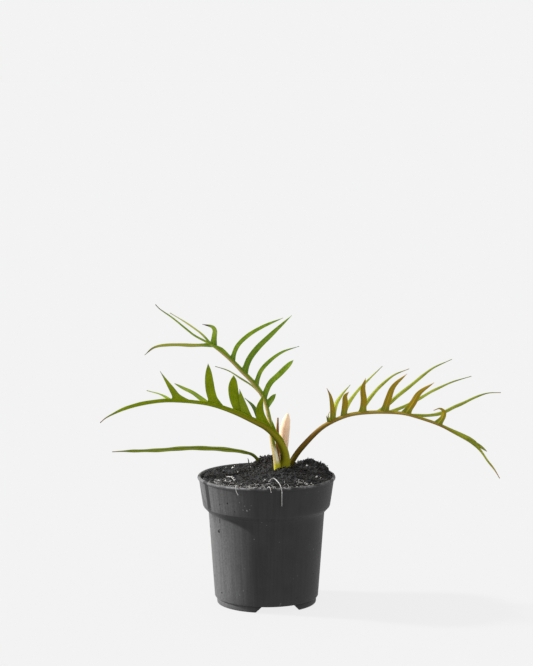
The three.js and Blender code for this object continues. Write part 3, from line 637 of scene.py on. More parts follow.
def moulded_polypropylene():
    """Dark recycled polypropylene, moulded and matt: drawn streaks, dried splashes, a scuffed lip
    with a painted highlight, painted window light and the collar's painted shadow.
    """
    material, tree = new_material("moulded_polypropylene")
    place = add(tree, "TexCoord").outputs["Object"]
    x, y, z = add(tree, "SeparateXYZ", {0: place}).outputs
    turn = add(tree, "Math", {0: x, 1: y}, operation="ARCTAN2")
    # Upright streaks from the mould, about 2 mm wide and tens of millimetres long
    wall = add(tree, "CombineXYZ", {0: turn, 2: z})
    drawn = add(tree, "Mapping", {"Vector": wall, "Scale": (24, 1, 18)})
    streaks = add(tree, "TexNoise", {"Vector": drawn, "Scale": 1, "Detail": 4})
    # Clouds of about 16 mm, a grain of 0.5 mm, flecks of 1.5 mm that mottle the painted light, and
    # patches of 8 mm for the lip's scuffs and painted highlight
    clouds, grain, flecks, scuff_and_highlight_patches = (
        add(tree, "TexNoise", {"Vector": place, "Scale": scale, "Detail": detail})
        for scale, detail in ((60, 4), (2200, 2), (650, 3), (120, 4))
    )
    tone = add(tree, "Math", {0: streaks, 1: clouds})
    # Painted light: the side that faces the window is painted a lighter grey where the light falls on
    # it
    outwards = add(tree, "CombineXYZ", {0: x, 1: y})
    facing = add(tree, "VectorMath", {0: outwards}, operation="NORMALIZE")
    sunward, towards, crosswise = (
        add(tree, "VectorMath", {0: way, 1: light}, operation="DOT_PRODUCT")
        for way, light in ((facing, SUNWARD), (place, SUNWARD), (place, CROSSWARD))
    )
    # Painted shadow: where the collar, standing out over the wall, casts its shadow from the window
    # light, the painted light is left out and the wall stays dark
    square = add(tree, "Math", {0: crosswise, 1: crosswise}, operation="MULTIPLY")
    rest = add(tree, "Math", {0: COLLAR_FOOT[0] ** 2, 1: square}, operation="SUBTRACT")
    chord = add(tree, "Math", {0: rest}, operation="SQRT")
    overhang = add(tree, "Math", {0: chord, 1: towards}, operation="SUBTRACT")
    fall = math.tan(LIGHT_RISE)
    lifted = add(tree, "Math", {0: overhang, 1: fall, 2: z}, operation="MULTIPLY_ADD")
    # The painted light is mottled, lighter in some streaks and flecks than in others
    painted_light_mottle = add(tree, "Math", {0: flecks, 1: streaks})
    # A narrow dark band runs down the collar there
    aside = add(tree, "Math", {0: turn, 1: DARK_BAND_TURN}, operation="SUBTRACT")
    away = add(tree, "Math", {0: aside}, operation="ABSOLUTE")
    # Dried splashes, specks of about 1 mm
    specks = add(tree, "TexVoronoi", {"Vector": place, "Scale": 240})
    # How far each of these shows, over the range that it sets in. The lip's top is painted lighter
    # too, partly wear and partly a painted highlight.
    edge = COLLAR_FOOT[1]
    share, painted_light_side, outside_painted_shadow, on_collar, painted_light_mottle_share, in_dark_band, above, lip, patchy, splash = (
        add(tree, "MapRange", {"Value": value, "From Min": low, "From Max": high})
        for value, low, high in (
            (tone, 0.8, 1.2), (sunward, -0.02, 1), (lifted, edge + 0.0009, edge - 0.0009),
            (z, edge - 0.0004, edge + 0.0004), (painted_light_mottle, 0.5, 1.5), (away, *DARK_BAND_WIDTH),
            (z, *DARK_BAND_FOOT), (z, *LIP_WORN_AND_HIGHLIT), (scuff_and_highlight_patches, 0.46, 0.62), (specks, 0.14, 0.08),
        )
    )
    # The collar itself lies outside the painted shadow
    painted_light_reach = add(tree, "Math", {0: outside_painted_shadow, 1: on_collar}, operation="MAXIMUM")
    sparse = add(tree, "MapRange", {
        "Value": clouds, "From Min": 0.54, "From Max": 0.62, "To Max": 0.5,
    })
    # The painted light stops at the painted shadow; then the dark band, the lip's wear and painted
    # highlight, and the splashes
    painted_light, dark_band, worn_and_highlit, spotted = (
        add(tree, "Math", {0: first, 1: second}, operation="MULTIPLY")
        for first, second in ((painted_light_side, painted_light_reach), (in_dark_band, above), (lip, patchy), (splash, sparse))
    )
    # The body's own grey, and the mottled grey of the painted light
    colour, dust_and_painted_light = (
        add(tree, "Mix", {0: mask, 6: linear(low), 7: linear(high)}, data_type="RGBA")
        for mask, low, high in ((share, "#232324", "#2b2b2b"), (painted_light_mottle_share, "#3c3c3c", "#747474"))
    )
    # Over the body lie the painted light, the dark band, the lip's wear and painted highlight, and
    # the splashes
    for mask, layer in (
        (painted_light, dust_and_painted_light), (dark_band, linear("#222222")), (worn_and_highlit, linear("#6c6c6c")),
        (spotted, linear("#7c7a78")),
    ):
        colour = add(tree, "Mix", {0: mask, 6: colour, 7: layer}, data_type="RGBA")
    gloss = add(tree, "MapRange", {
        "Value": tone, "From Min": 0.7, "From Max": 1.3, "To Min": 0.5, "To Max": 0.62,
    })
    relief = add(tree, "Math", {0: streaks, 1: grain})
    return surfaced(material, relief, 0.35, 0.0002, {
        "Base Color": colour, "Roughness": gloss, "IOR": 1.49, "Specular IOR Level": 0.25,
    })


def rough_matter(name, low, high, size, depth, roughness):
    """Dull, uneven matter in two colours, with a grain of the given size in metres."""
    material, tree = new_material(name)
    place = add(tree, "TexCoord").outputs["Object"]
    coarse = add(tree, "TexNoise", {"Vector": place, "Scale": 0.3 / size, "Detail": 5})
    fine = add(tree, "TexNoise", {
        "Vector": place, "Scale": 1 / size, "Detail": 4, "Roughness": 0.7,
    })
    blotch = add(tree, "Math", {0: coarse, 1: fine})
    share = add(tree, "MapRange", {"Value": blotch, "From Min": 0.75, "From Max": 1.3})
    colour = add(tree, "Mix", {0: share, 6: linear(low), 7: linear(high)}, data_type="RGBA")
    return surfaced(material, fine, 0.6, depth, {
        "Base Color": colour, "Roughness": roughness, "Specular IOR Level": 0.2,
    })


def papery_sheath(name, middle, edge, streak, roughness):
    """A cast or fresh bud sheath: thin papery tissue with fine streaks that run up it."""
    material, tree = new_material(name)
    place = add(tree, "TexCoord").outputs["Object"]
    # Streaks of about 0.6 mm across, drawn out twelve times as long
    drawn = add(tree, "Mapping", {"Vector": place, "Scale": (1, 1, 0.08)})
    streaks = add(tree, "TexNoise", {"Vector": drawn, "Scale": 1600, "Detail": 3})
    around = add(tree, "Attribute", attribute_name="around").outputs["Fac"]
    fine = add(tree, "MapRange", {
        "Value": streaks, "From Min": 0.45, "From Max": 0.75, "To Max": 0.5,
    })
    colour = linear(middle)
    for mask, layer in ((around, edge), (fine, streak)):
        colour = add(tree, "Mix", {0: mask, 6: colour, 7: linear(layer)}, data_type="RGBA")
    return surfaced(material, streaks, 0.4, 0.0002, {
        "Base Color": colour, "Roughness": roughness, "Specular IOR Level": 0.2,
    })


def place_piece(piece, material, slot, *nodes):
    """Gives a piece its material and its place in the frame."""
    piece.data.materials.clear()
    piece.data.materials.append(material)
    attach(piece, "root")
    if nodes:
        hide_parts(*nodes)


def loose(name, bodies, material, slot="soil"):
    """Several loose bodies as one piece."""
    place_piece(mesh_object(name, *gather(bodies)), material, slot)


def tube(path, radius_pairs, steps, sides, shape=None):
    """A round, tapering body along a path. Shape may change the radius at a share and a turn."""
    rings = []
    for step in range(steps + 1):
        share = step / steps
        centre = path.at(share)
        ahead = path.ahead(share)
        level = Vector((0, -1, 0)).cross(ahead).normalized()
        upright = ahead.cross(level)
        radius = size_at(radius_pairs, share)
        ring = []
        for turn in turns(sides):
            reach = radius if shape is None else radius * shape(share, turn)
            ring.append(centre + level * reach * math.cos(turn) + upright * reach * math.sin(turn))
        rings.append(ring)
    return loft(rings)


# Shares across a lobe from one margin to the other, crowded at the middle vein, and across a
# wing from the rib to its margin
ACROSS = (-1, -0.9, -0.65, -0.4, -0.2, -0.08, 0, 0.08, 0.2, 0.4, 0.65, 0.9, 1)
WING_SPANS = (0, 0.15, 0.35, 0.55, 0.75, 0.9, 1)
MARGIN_WAVE = 0.00015
WAVE_LENGTH = 0.021
WING_STEPS = 110
RIB_COVER = 0.6


def blade_ring(middles, normal, spans, vein):
    """One cross-section of a blade, thin at its margins and ribbed beneath its middle vein."""
    upper = []
    lower = []
    for middle, span in zip(middles, spans):
        half = 0.5 * between(BLADE, MARGIN, span * span)
        ridge = vein * max(0, 1 - abs(span) / 0.2)
        upper.append(middle + normal * (half - 0.3 * ridge))
        lower.append(middle - normal * (half + ridge))
    return upper + lower[::-1]


def wing(rib, sides, width_pairs, radius_pairs):
    """The strip of blade that runs along one side of the rib."""
    first, last = (Vector(side) for side in sides)
    start = width_pairs[0][0]
    rings = []
    for step in range(WING_STEPS + 1):
        share = between(start, 1, step / WING_STEPS)
        ahead = rib.ahead(share)
        outward = first.lerp(last, share)
        outward = (outward - ahead * outward.dot(ahead)).normalized()
        normal = ahead.cross(outward)
        centre = rib.at(share)
        width = size_at(width_pairs, share)
        reach = RIB_COVER * size_at(radius_pairs, share) + width
        wave = MARGIN_WAVE * math.sin(2 * math.pi * share * rib.length / WAVE_LENGTH)
        middles = [
            centre + outward * reach * span + normal * wave * span * span * min(1, width / BROAD)
            for span in WING_SPANS
        ]
        rings.append(blade_ring(middles, normal, WING_SPANS, 0))
    return loft(rings)


FLARE_LENGTH = 0.009
FLARE_SHARE = 0.6
FLARE_STEPS = 14
BODY_STEPS = 40
LOBE_FOLD = 0.16
TIP_WIDTH = 0.0004
VEIN_RIDGE = 0.0003


def lobe(rib, form, number):
    """One lobe, and the samples of its middle line that its markings are worked out from."""
    root = rib.at(form.at)
    axis = Path([root, *form.route])
    flare_share = min(FLARE_SHARE, FLARE_LENGTH / axis.length)
    shares = [flare_share * i / FLARE_STEPS for i in range(FLARE_STEPS)]
    shares += [between(flare_share, 1, i / BODY_STEPS) for i in range(BODY_STEPS + 1)]
    across = rib.ahead(form.at)
    rings = []
    samples = []
    for share in shares:
        centre = axis.at(share)
        ahead = axis.ahead(share)
        across = (across - ahead * across.dot(ahead)).normalized()
        normal = ahead.cross(across)
        hold = max(0, 1 - share / flare_share) ** 2
        half = 0.5 * max(TIP_WIDTH, form.width * max(0, 1 - share ** form.fullness))
        spread = hold * (0.5 * (form.foot - form.width) + half)
        run = 2 * math.pi * share * axis.length / WAVE_LENGTH + number
        ripple = MARGIN_WAVE * min(1, half / BROAD)
        middles = []
        for span in ACROSS:
            shift = rib.at(form.at + span * spread / rib.length) - root
            lift = half * LOBE_FOLD * (abs(span) - 1) + ripple * span * span * math.sin(run + span)
            reach = across * span * half + normal * lift
            middles.append(centre + shift + reach * (1 - hold))
        vein = VEIN_RIDGE * (1 - share) * min(1, half / BROAD)
        rings.append(blade_ring(middles, normal, ACROSS, vein))
        samples.append((centre, share * axis.length, share, across.copy(), half, form))
    return loft(rings), samples


RIB_STEPS = 150
RIB_SIDES = 18


def cut_crown(piece):
    """Cuts off what is buried under the crown, closes the cut and keeps sharp edges sharp."""
    shaped = bmesh.new()
    shaped.from_mesh(piece.data)
    parts = shaped.verts[:] + shaped.edges[:] + shaped.faces[:]
    bmesh.ops.bisect_plane(shaped, geom=parts, plane_co=(0, 0, CROWN_TOP), plane_no=(0, 0, 1),
                           clear_inner=True)
    rims = [edge for edge in shaped.edges if edge.is_boundary]
    bmesh.ops.holes_fill(shaped, edges=rims)
    bmesh.ops.recalc_face_normals(shaped, faces=shaped.faces)
    shaped.to_mesh(piece.data)
    shaped.free()
    piece.data.set_sharp_from_angle(angle=SHARP_EDGE)


def search_tree(places):
    """A tree that finds the nearest of some places, and its number."""
    tree = KDTree(len(places))
    for i, place in enumerate(places):
        tree.insert(place, i)
    tree.balance()
    return tree


# A middle vein's drawn half width, how far past its margin a lobe still marks the blade, how
# near its foot it starts to, and the heights over which the shade on a petiole sets in
VEIN_HALF = 0.0005
MARK_REACH = 0.0012
MARK_START = 0.001
SHADE_RISE = (0.116, 0.126)


def mark_leaf(mesh, rib, plan, samples):
    """Notes at each point of a leaf what its material shows there."""
    rib_tree = search_tree([rib.at(i / RIB_STEPS) for i in range(RIB_STEPS + 1)])
    lobe_tree = search_tree([sample[0] for sample in samples])
    shady = Vector(plan["under"]).normalized()
    notes = {name: [] for name in NOTES}
    for vertex in mesh.vertices:
        near, i, away = rib_tree.find(vertex.co)
        share = i / RIB_STEPS
        radius = size_at(plan["radius"], share)
        on_rib = 1 - smoothstep(away, 0.95 * radius, 1.1 * radius + 0.0004)
        on_rib *= 1 - 0.85 * smoothstep(share, *plan["rib_fade"])
        # The side named by under takes painted shade, partly over the petiole's own colour
        under = (vertex.co - near).dot(shady) / radius
        faded = between(1, plan["shade_kept"], smoothstep(share, 0.12, 0.3))
        faded *= smoothstep(vertex.co.z, *SHADE_RISE)
        note = {
            "rib": on_rib, "vein": 0, "tone": 0, "light": 0,
            "dry": 0.9 * smoothstep(share, 0.92, 1), "rise": vertex.co.z - BURIED,
            "side": faded * smoothstep(under, *plan["shade_edge"]),
            "across": away, "along": share * rib.length,
        }
        if samples:
            near, i, away = lobe_tree.find(vertex.co)
            centre, along, share, across, half, form = samples[i]
            aside = abs((vertex.co - centre).dot(across))
            if away < half + MARK_REACH and along > MARK_START:
                # A lobe's light note paints light and shade on it, partly over its own tone
                grown = smoothstep(along, *plan["toned"]) * (1 - 0.999 * on_rib)
                line = max(0, 1 - aside / VEIN_HALF)
                note |= {
                    "vein": 0.55 * line * (1 - share) * (1 - on_rib),
                    "tone": form.tone * grown,
                    "light": form.light * grown - plan["deep_foot"] * (1 - grown),
                    "dry": min(1, form.dry * smoothstep(share, 0.98 - 0.3 * min(1, form.dry), 1)),
                    "across": aside, "along": along,
                }
        for name, value in note.items():
            notes[name].append(value)
    for name, values in notes.items():
        mesh.attributes.new(name, "FLOAT", "POINT").data.foreach_set("value", values)


SHARP_EDGE = math.radians(50)


def leaf(node, plan, slot):
    """One whole leaf: petiole and midrib, the two wings of blade, and the lobes."""
    rib = Path(plan["route"])
    bodies = [
        wing(rib, plan[side + "_side"], plan[side + "_wing"], plan["radius"])
        for side in ("near", "far")
    ]
    samples = []
    for number, form in enumerate(plan["lobes"]):
        body, middle = lobe(rib, form, number)
        bodies.append(body)
        samples += middle
    piece = mesh_object(node + "_fine", *tube(rib, plan["radius"], RIB_STEPS, RIB_SIDES))
    combine(piece, [mesh_object("part", *body) for body in bodies], "UNION")
    cut_crown(piece)
    mark_leaf(piece.data, rib, plan, samples)
    place_piece(piece, fresh_leaf(node), slot, node)


def corner(places, count):
    """A rounded corner of the pot through (radius, height) places."""
    bend = Path([(radius, 0, height) for radius, height in places])
    return [(place.x, place.z) for place in (bend.at(i / count) for i in range(count + 1))]


def slope(low, high, count):
    """The steps of a straight wall between two (radius, height) places, without its ends."""
    shares = [i / count for i in range(1, count)]
    return [tuple(between(*ends, share) for ends in zip(low, high)) for share in shares]


# The flat of the foot, as the radii between which it runs
FOOT_FLAT = (0.004, 0.03)


def pot_outside():
    """The pot's outside from the middle of the foot to the top of the lip, corners rounded."""
    heel = corner([
        (FOOT_RADIUS, 0.0012), (FOOT_RADIUS - 0.0003, 0.0004), (FOOT_RADIUS - 0.0011, 0),
    ], 5)
    foot = corner([
        (BODY_FOOT[0], BODY_FOOT[1] + 0.0005), (BODY_FOOT[0] - 0.0004, BODY_FOOT[1] - 0.0002),
        (FOOT_RADIUS - 0.0003, BODY_FOOT[1] - 0.0006), (FOOT_RADIUS, BODY_FOOT[1] - 0.0014),
    ], 8)
    shelf = corner([
        (COLLAR_FOOT[0], COLLAR_FOOT[1] + 0.0008), (COLLAR_FOOT[0] - 0.0004, COLLAR_FOOT[1]),
        (BODY_TOP[0] + 0.0009, BODY_TOP[1] + 0.0006), (BODY_TOP[0], BODY_TOP[1] - 0.0006),
    ], 8)
    lip = corner([
        COLLAR_TOP, (RIM_RADIUS - 0.0005, COLLAR_TOP[1] + 0.0002), (RIM_RADIUS, 0.1102),
        (RIM_RADIUS - 0.0002, 0.1112), (RIM_RADIUS - 0.0007, 0.1118),
        (RIM_RADIUS - 0.0014, POT_HEIGHT),
    ], 14)
    return [
        *((radius, 0) for radius in FOOT_FLAT), *heel[::-1], *foot[::-1],
        *slope(BODY_FOOT, BODY_TOP, 12), *shelf[::-1], *slope(COLLAR_FOOT, COLLAR_TOP, 4), *lip,
    ]


def pot_inside(clearance, top):
    """The room inside the pot, drawn in by a clearance, and open upwards to a given height."""
    inset = WALL + clearance
    lip = RIM_INSIDE - clearance
    return [
        (FOOT_FLAT[0], FLOOR + clearance), (FOOT_RADIUS - inset - 0.0003, FLOOR + clearance),
        (BODY_FOOT[0] - inset, BODY_FOOT[1] + 0.0015), (BODY_TOP[0] - inset, BODY_TOP[1] + 0.0006),
        (COLLAR_FOOT[0] - inset, COLLAR_FOOT[1] + 0.0006), (COLLAR_TOP[0] - inset, COLLAR_TOP[1]),
        (lip - 0.0002, POT_HEIGHT - 0.0020), (lip, POT_HEIGHT - 0.0008),
        (lip + 0.0005, POT_HEIGHT + 0.0002), (lip + 0.0005, top),
    ]


WARP = 0.0002
WARP_FOOT = 0.03
LIP_FOOT = 0.1085


def warped(radius, height, turn):
    """The thin wall sags a little out of round, most of all at the lip, and never outwards."""
    wave = 0.5 + 0.25 * math.sin(2 * turn + 0.7)
    wave += 0.15 * math.sin(5 * turn) + 0.1 * math.sin(9 * turn)
    share = smoothstep(height, WARP_FOOT, POT_HEIGHT)
    sag = 0.8 * WARP * share * (0.5 + 0.5 * math.sin(3 * turn + 2)) if height > LIP_FOOT else 0
    return radius - WARP * share * wave, height - sag


def fanned(name, start, rings, end):
    """A closed body through rings of points and a middle point at either end."""
    points, faces = loft(rings)
    faces = [tuple(1 + i for i in face) for face in faces[1:-1]]
    count = len(rings[0])
    last = len(points) - count + 1
    for i in range(count):
        after = (i + 1) % count
        faces += [(0, 1 + after, 1 + i), (len(points) + 1, last + i, last + after)]
    return mesh_object(name, [start, *points, end], faces)


def turned(name, profile):
    """A profile of (radius, height) turned round the Z axis and closed on it."""
    rings = []
    for radius, height in profile:
        bent = [(*warped(radius, height, turn), turn) for turn in turns(POT_SEGMENTS)]
        rings.append([polar(reach, turn, level) for reach, level, turn in bent])
    start, end = (Vector((0, 0, height)) for _, height in (profile[0], profile[-1]))
    return fanned(name, start, rings, end)


def channel_bar(turn, wall):
    """A bar with slanted sides that runs outwards under the floor, wider by the given wall."""
    foot, roof, top = (CHANNEL[part] + wall for part in ("foot", "roof", "height"))
    side = [(foot, -0.001), (foot, 0), (roof, top)]
    section = side + [(-x, z) for x, z in reversed(side)]
    rings = [
        [polar(reach, turn, z) + polar(x, turn + math.pi / 2) for x, z in section]
        for reach in (CHANNEL["inner"] - wall, CHANNEL["outer"])
    ]
    return mesh_object("bar", *loft(rings))


def channel_bars(wall):
    return [channel_bar(turn + CHANNEL_TURN, wall) for turn in turns(CHANNEL_COUNT)]


def drain_rods():
    """Rods that cut two holes through the roof of each channel."""
    rods = []
    widths = [(0, DRAIN_RADIUS), (1, DRAIN_RADIUS)]
    for turn in turns(CHANNEL_COUNT):
        for aside in (-DRAIN_SPREAD, DRAIN_SPREAD):
            ends = [polar(DRAIN_RING, CHANNEL_TURN + turn + aside, z) for z in (-0.005, 0.015)]
            rods.append(mesh_object("rod", *tube(Path(ends), widths, 1, 32)))
    return rods


def pot():
    """The pot: its outside, less the room inside, the channels under the floor and the holes."""
    room = turned("room", pot_inside(0, POT_HEIGHT + 0.005))
    combine(room, channel_bars(CHANNEL_WALL), "DIFFERENCE")
    piece = turned("pot_fine", pot_outside())
    combine(piece, [room, *channel_bars(0), *drain_rods()], "DIFFERENCE")
    piece.data.set_sharp_from_angle(angle=SHARP_EDGE)
    place_piece(piece, moulded_polypropylene(), "pot", "pot")


def draw_crumbs():
    """The places, sizes and heights of the crumbs in the soil's surface."""
    draws = seeded_draws(7)
    crumbs = []
    for _ in range(CRUMB_COUNT):
        reach = RIM_INSIDE * math.sqrt(next(draws))
        turn = next(draws) * 2 * math.pi
        size = between(*CRUMB_SIZE, next(draws))
        height = CRUMB_HEIGHT * (next(draws) - PIT_SHARE)
        crumbs.append((reach * math.cos(turn), reach * math.sin(turn), size, height))
    return crumbs


CRUMBS = draw_crumbs()


def hump(form, x, y):
    """How far a heap lifts the soil at a place."""
    away = ((x - form["x"]) / form["wide"]) ** 2 + ((y - form["y"]) / form["deep"]) ** 2
    return form["height"] * math.exp(-away)


def soil_height(x, y):
    """The soil's surface without its finest grain."""
    inward = 1 - smoothstep(math.hypot(x, y), HEAP_EDGE["from"], HEAP_EDGE["to"])
    share = between(HEAP_EDGE["left"], 1, inward)
    height = SOIL_LEVEL + hump(BACK, x, y)
    for heap in HEAPS:
        height += hump(heap, x, y) * share
    for crumb_x, crumb_y, size, lift in CRUMBS:
        away = math.hypot(x - crumb_x, y - crumb_y) / size
        if away < 3:
            height += lift * math.exp(-away * away)
    return height


def grain_height(x, y):
    """The fine crumbly grain on the soil, about a millimetre deep."""
    lumps = noise.fractal(Vector((x * 420, y * 420, 3.1)), 0.9, 2.1, 4)
    cells = noise.voronoi(Vector((x * 380, y * 380, 0.5)))[0][0]
    return 0.0006 * lumps + 0.0012 * (0.45 - cells)


SOIL_RINGS = 110
SOIL_SECTORS = 340
SOIL_REACH = RIM_INSIDE - SOIL_CLEARANCE


def soil():
    """The soil: its crumbly top, then its side down the pot's wall to a flat underside."""
    rings = []
    for ring in range(1, SOIL_RINGS + 1):
        reach = SOIL_REACH * ring / SOIL_RINGS
        edge = 1 - smoothstep(reach, SOIL_REACH - 0.001, SOIL_REACH)
        rings.append([])
        for turn in turns(SOIL_SECTORS):
            x, y = reach * math.cos(turn), reach * math.sin(turn)
            rings[-1].append(Vector((x, y, soil_height(x, y) + grain_height(x, y) * edge)))
    side = pot_inside(SOIL_CLEARANCE, POT_HEIGHT)[1:6]
    for radius, height in reversed(side):
        rings.append([polar(radius, turn, height) for turn in turns(SOIL_SECTORS)])
    top, bottom = (Vector((0, 0, height)) for height in (soil_height(0, 0), side[0][1]))
    piece = fanned("soil_fine", top, rings, bottom)
    combine(piece, channel_bars(CHANNEL_WALL + SOIL_CLEARANCE), "DIFFERENCE")
    place_piece(piece, MATERIALS["peat"], "soil", "soil")


def rock(size, detail, draw):
    """A small uneven lump round the origin: its points and faces."""
    shaped = bmesh.new()
    bmesh.ops.create_icosphere(shaped, subdivisions=detail, radius=0.5)
    turn = Euler([draw.uniform(0, 2 * math.pi) for _ in range(3)]).to_matrix()
    seed = Vector([draw.uniform(-50, 50) for _ in range(3)])
    points = []
    for vertex in shaped.verts:
        swell = 1 + 0.55 * noise.noise(vertex.co * 2.4 + seed)
        spot = Vector((vertex.co.x * size[0], vertex.co.y * size[1], vertex.co.z * size[2]))
        points.append(turn @ (spot * swell))
    faces = [tuple(vertex.index for vertex in face.verts) for face in shaped.faces]
    shaped.free()
    return points, faces


def strewn(name, count, sizes, detail, seed, place, material):
    """Lumps strewn over the soil, each sunk by a third into it."""
    draw = random.Random(seed)
    bodies = []
    for _ in range(count):
        x, y = place(draw)
        size = between(*sizes, draw.random() ** 2)
        form = [size * draw.uniform(*span) for span in ((0.6, 1.2), (0.6, 1.2), (0.5, 0.9))]
        points, faces = rock(form, detail, draw)
        lift = Vector((x, y, soil_height(x, y) + 0.15 * size))
        bodies.append(([point + lift for point in points], faces))
    loose(name, bodies, material)


def anywhere(draw):
    """A place on the soil, evenly drawn."""
    reach = (SOIL_REACH - 0.001) * math.sqrt(draw.random())
    turn = draw.uniform(0, 2 * math.pi)
    return reach * math.cos(turn), reach * math.sin(turn)


def on_heaps(draw):
    """A place on one of the heaps."""
    heap = draw.choice(HEAPS)
    while True:
        x = draw.gauss(heap["x"], heap["wide"] * 0.5)
        y = draw.gauss(heap["y"], heap["deep"] * 0.5)
        if math.hypot(x, y) < SOIL_REACH - 0.002:
            return x, y


def grit_place(draw):
    """White grit lies in a cluster right of the front, near the left rim, and thinly elsewhere."""
    pick = draw.random()
    while True:
        if pick < 0.5:
            x, y = draw.gauss(0.032, 0.0045), draw.gauss(-0.030, 0.006)
        elif pick < 0.66:
            x, y = draw.gauss(-0.032, 0.005), draw.gauss(-0.010, 0.008)
        else:
            x, y = anywhere(draw)
        if math.hypot(x, y) < SOIL_REACH - 0.002:
            return x, y


def fibre_place(draw):
    """Fibres gather along the front of the rim and to the left."""
    while True:
        turn = math.radians(draw.gauss(-96, 34))
        reach = between(0.030, 0.0575, draw.random() ** 0.5)
        return reach * math.cos(turn), reach * math.sin(turn)


def ground(x, y):
    """The height of what a loose fibre lies on: the soil, or the lip of the pot."""
    away = math.hypot(x, y)
    lip = POT_HEIGHT - 0.012 * smoothstep(away, RIM_RADIUS - 0.0012, RIM_RADIUS + 0.002)
    return between(soil_height(x, y), lip, smoothstep(away, SOIL_REACH - 0.0012, SOIL_REACH))


def fibres(name, count, place, lengths, radius, seed, material, slot):
    """Fine fibres that lie in loose curls on the soil."""
    draw = random.Random(seed)
    bodies = []
    for _ in range(count):
        x, y = place(draw)
        turn = draw.uniform(0, 2 * math.pi)
        curl = draw.uniform(-1.1, 1.1)
        step = draw.uniform(*lengths) / 5
        route = []
        for i in range(6):
            if math.hypot(x, y) > RIM_RADIUS - 0.0004:
                break
            hop = math.sin(math.pi * i / 5) * draw.uniform(0, 0.0012)
            route.append((x, y, ground(x, y) + radius + hop))
            x += step * math.cos(turn)
            y += step * math.sin(turn)
            turn += curl
        if len(route) > 2:
            thin = draw.uniform(0.6, 1) * radius
            bodies.append(tube(Path(route), [(0, thin), (0.7, thin), (1, 0.4 * thin)], 12, 5))
    loose(name, bodies, material, slot)


def root(number, points):
    """A loose pale root, uneven along its length."""
    path = Path(points)
    tapers = [(0, 1), (0.45, 0.95), (0.65, 0.65), (0.92, 0.55), (1, 0.75)]
    pairs = [(share, size * ROOT_RADIUS) for share, size in tapers]

    def knotty(share, turn):
        return 1 + 0.25 * noise.noise(Vector((share * path.length * 500, number, turn)))

    piece = mesh_object(f"root_{number}_fine", *tube(path, pairs, 60, 8, knotty))
    place_piece(piece, MATERIALS["root"], "root", f"root_{number}")


def splinters(name, count, seed):
    """Short twigs and coarse fibres that stick out of the heaps at all angles."""
    draw = random.Random(seed)
    bodies = []
    for _ in range(count):
        x, y = on_heaps(draw)
        start = Vector((x, y, soil_height(x, y) - 0.0005))
        turn = draw.uniform(0, 2 * math.pi)
        lean = draw.uniform(0.2, 1.3)
        reach = draw.uniform(0.0018, 0.0042)
        way = polar(math.sin(lean), turn, math.cos(lean))
        end = start + way * reach
        if math.hypot(end.x, end.y) > RIM_RADIUS - 0.001:
            continue
        radius = draw.uniform(0.00018, 0.00042)
        bend = Vector((draw.uniform(-1, 1), draw.uniform(-1, 1), 0)) * 0.15 * reach
        route = [start, start.lerp(end, 0.5) + bend, end]
        bodies.append(tube(Path(route), [(0, radius), (0.7, radius), (1, 0.5 * radius)], 6, 5))
    loose(name, bodies, MATERIALS["stick"])


def clods():
    """The clods of the list."""
    draw = random.Random(41)
    bodies = []
    for place, size in CLODS:
        points, faces = rock([size, size * 0.9, size * 0.8], 3, draw)
        bodies.append(([point + Vector(place) for point in points], faces))
    loose("clods", bodies, MATERIALS["peat"])


def sticks():
    """The sticks of the list, each a little bent."""
    bodies = []
    for start, end, radius in STICKS:
        start, end = Vector(start), Vector(end)
        path = Path([start, start.lerp(end, 0.5) + Vector((radius, 0, 0)), end])
        bodies.append(tube(path, [(0, radius), (0.6, radius), (1, 0.4 * radius)], 10, 7))
    loose("sticks", bodies, MATERIALS["stick"])


def wall_radius(height):
    """The pot's outer radius at a height on its body or collar."""
    low, high = (COLLAR_FOOT, COLLAR_TOP) if height > COLLAR_FOOT[1] else (BODY_FOOT, BODY_TOP)
    share = (height - low[1]) / (high[1] - low[1])
    return between(low[0], high[0], share)


def pot_specks(name, specks, seed, material):
    """Small flat lumps that stick to the outside of the pot."""
    draw = random.Random(seed)
    bodies = []
    for degrees, height, size in specks:
        turn = math.radians(degrees - 90)
        reach, _ = warped(wall_radius(height), height, turn)
        points, faces = rock([size, size, size], 2, draw)
        out = Vector((math.cos(turn), math.sin(turn), 0))
        middle = out * reach + Vector((0, 0, height))
        flat = [middle + point - out * 0.75 * point.dot(out) for point in points]
        bodies.append((flat, faces))
    loose(name, bodies, material)


SHEATH_STEPS = 70
SHEATH_SIDES = 48


def sheath(node, plan, material, slot, shape):
    """A pointed sheath rolled round itself, with one margin lapped over the other."""
    body = tube(Path(plan["route"]), plan["radius"], SHEATH_STEPS, SHEATH_SIDES, shape)
    piece = mesh_object(node + "_fine", *body)
    around = []
    for index in range(len(piece.data.vertices)):
        turn = 2 * math.pi * (index % SHEATH_SIDES) / SHEATH_SIDES
        top = smoothstep(index / (SHEATH_SIDES * SHEATH_STEPS), 0.86, 0.97)
        around.append(max(math.cos(turn) ** 2, top))
    piece.data.attributes.new("around", "FLOAT", "POINT").data.foreach_set("value", around)
    cut_crown(piece)
    place_piece(piece, material, slot, node)


def lapped(share, turn):
    """A roll whose outer margin stands proud, a little flattened from front to back."""
    lap = 0.07 * ((turn / (2 * math.pi) + 0.62) % 1)
    return 0.93 + lap + 0.05 * math.cos(2 * turn)


def shrivelled(share, turn):
    """A dried roll, flat and creased."""
    return 0.8 + 0.2 * math.cos(2 * turn) + 0.08 * math.sin(7 * turn + 9 * share)


# The pale grey that the sky and the floor both show, and the small share of it that the floor
# owes to the light that falls on it and so loses in a shadow
PALE = "#f3f3f3"
FLOOR_GLOW = 0.912
FLOOR_GREY = "#393939"
FLOOR_REACH = 12
WINDOW_WIDTH = math.radians(6)
WINDOW_POWER = 5.6


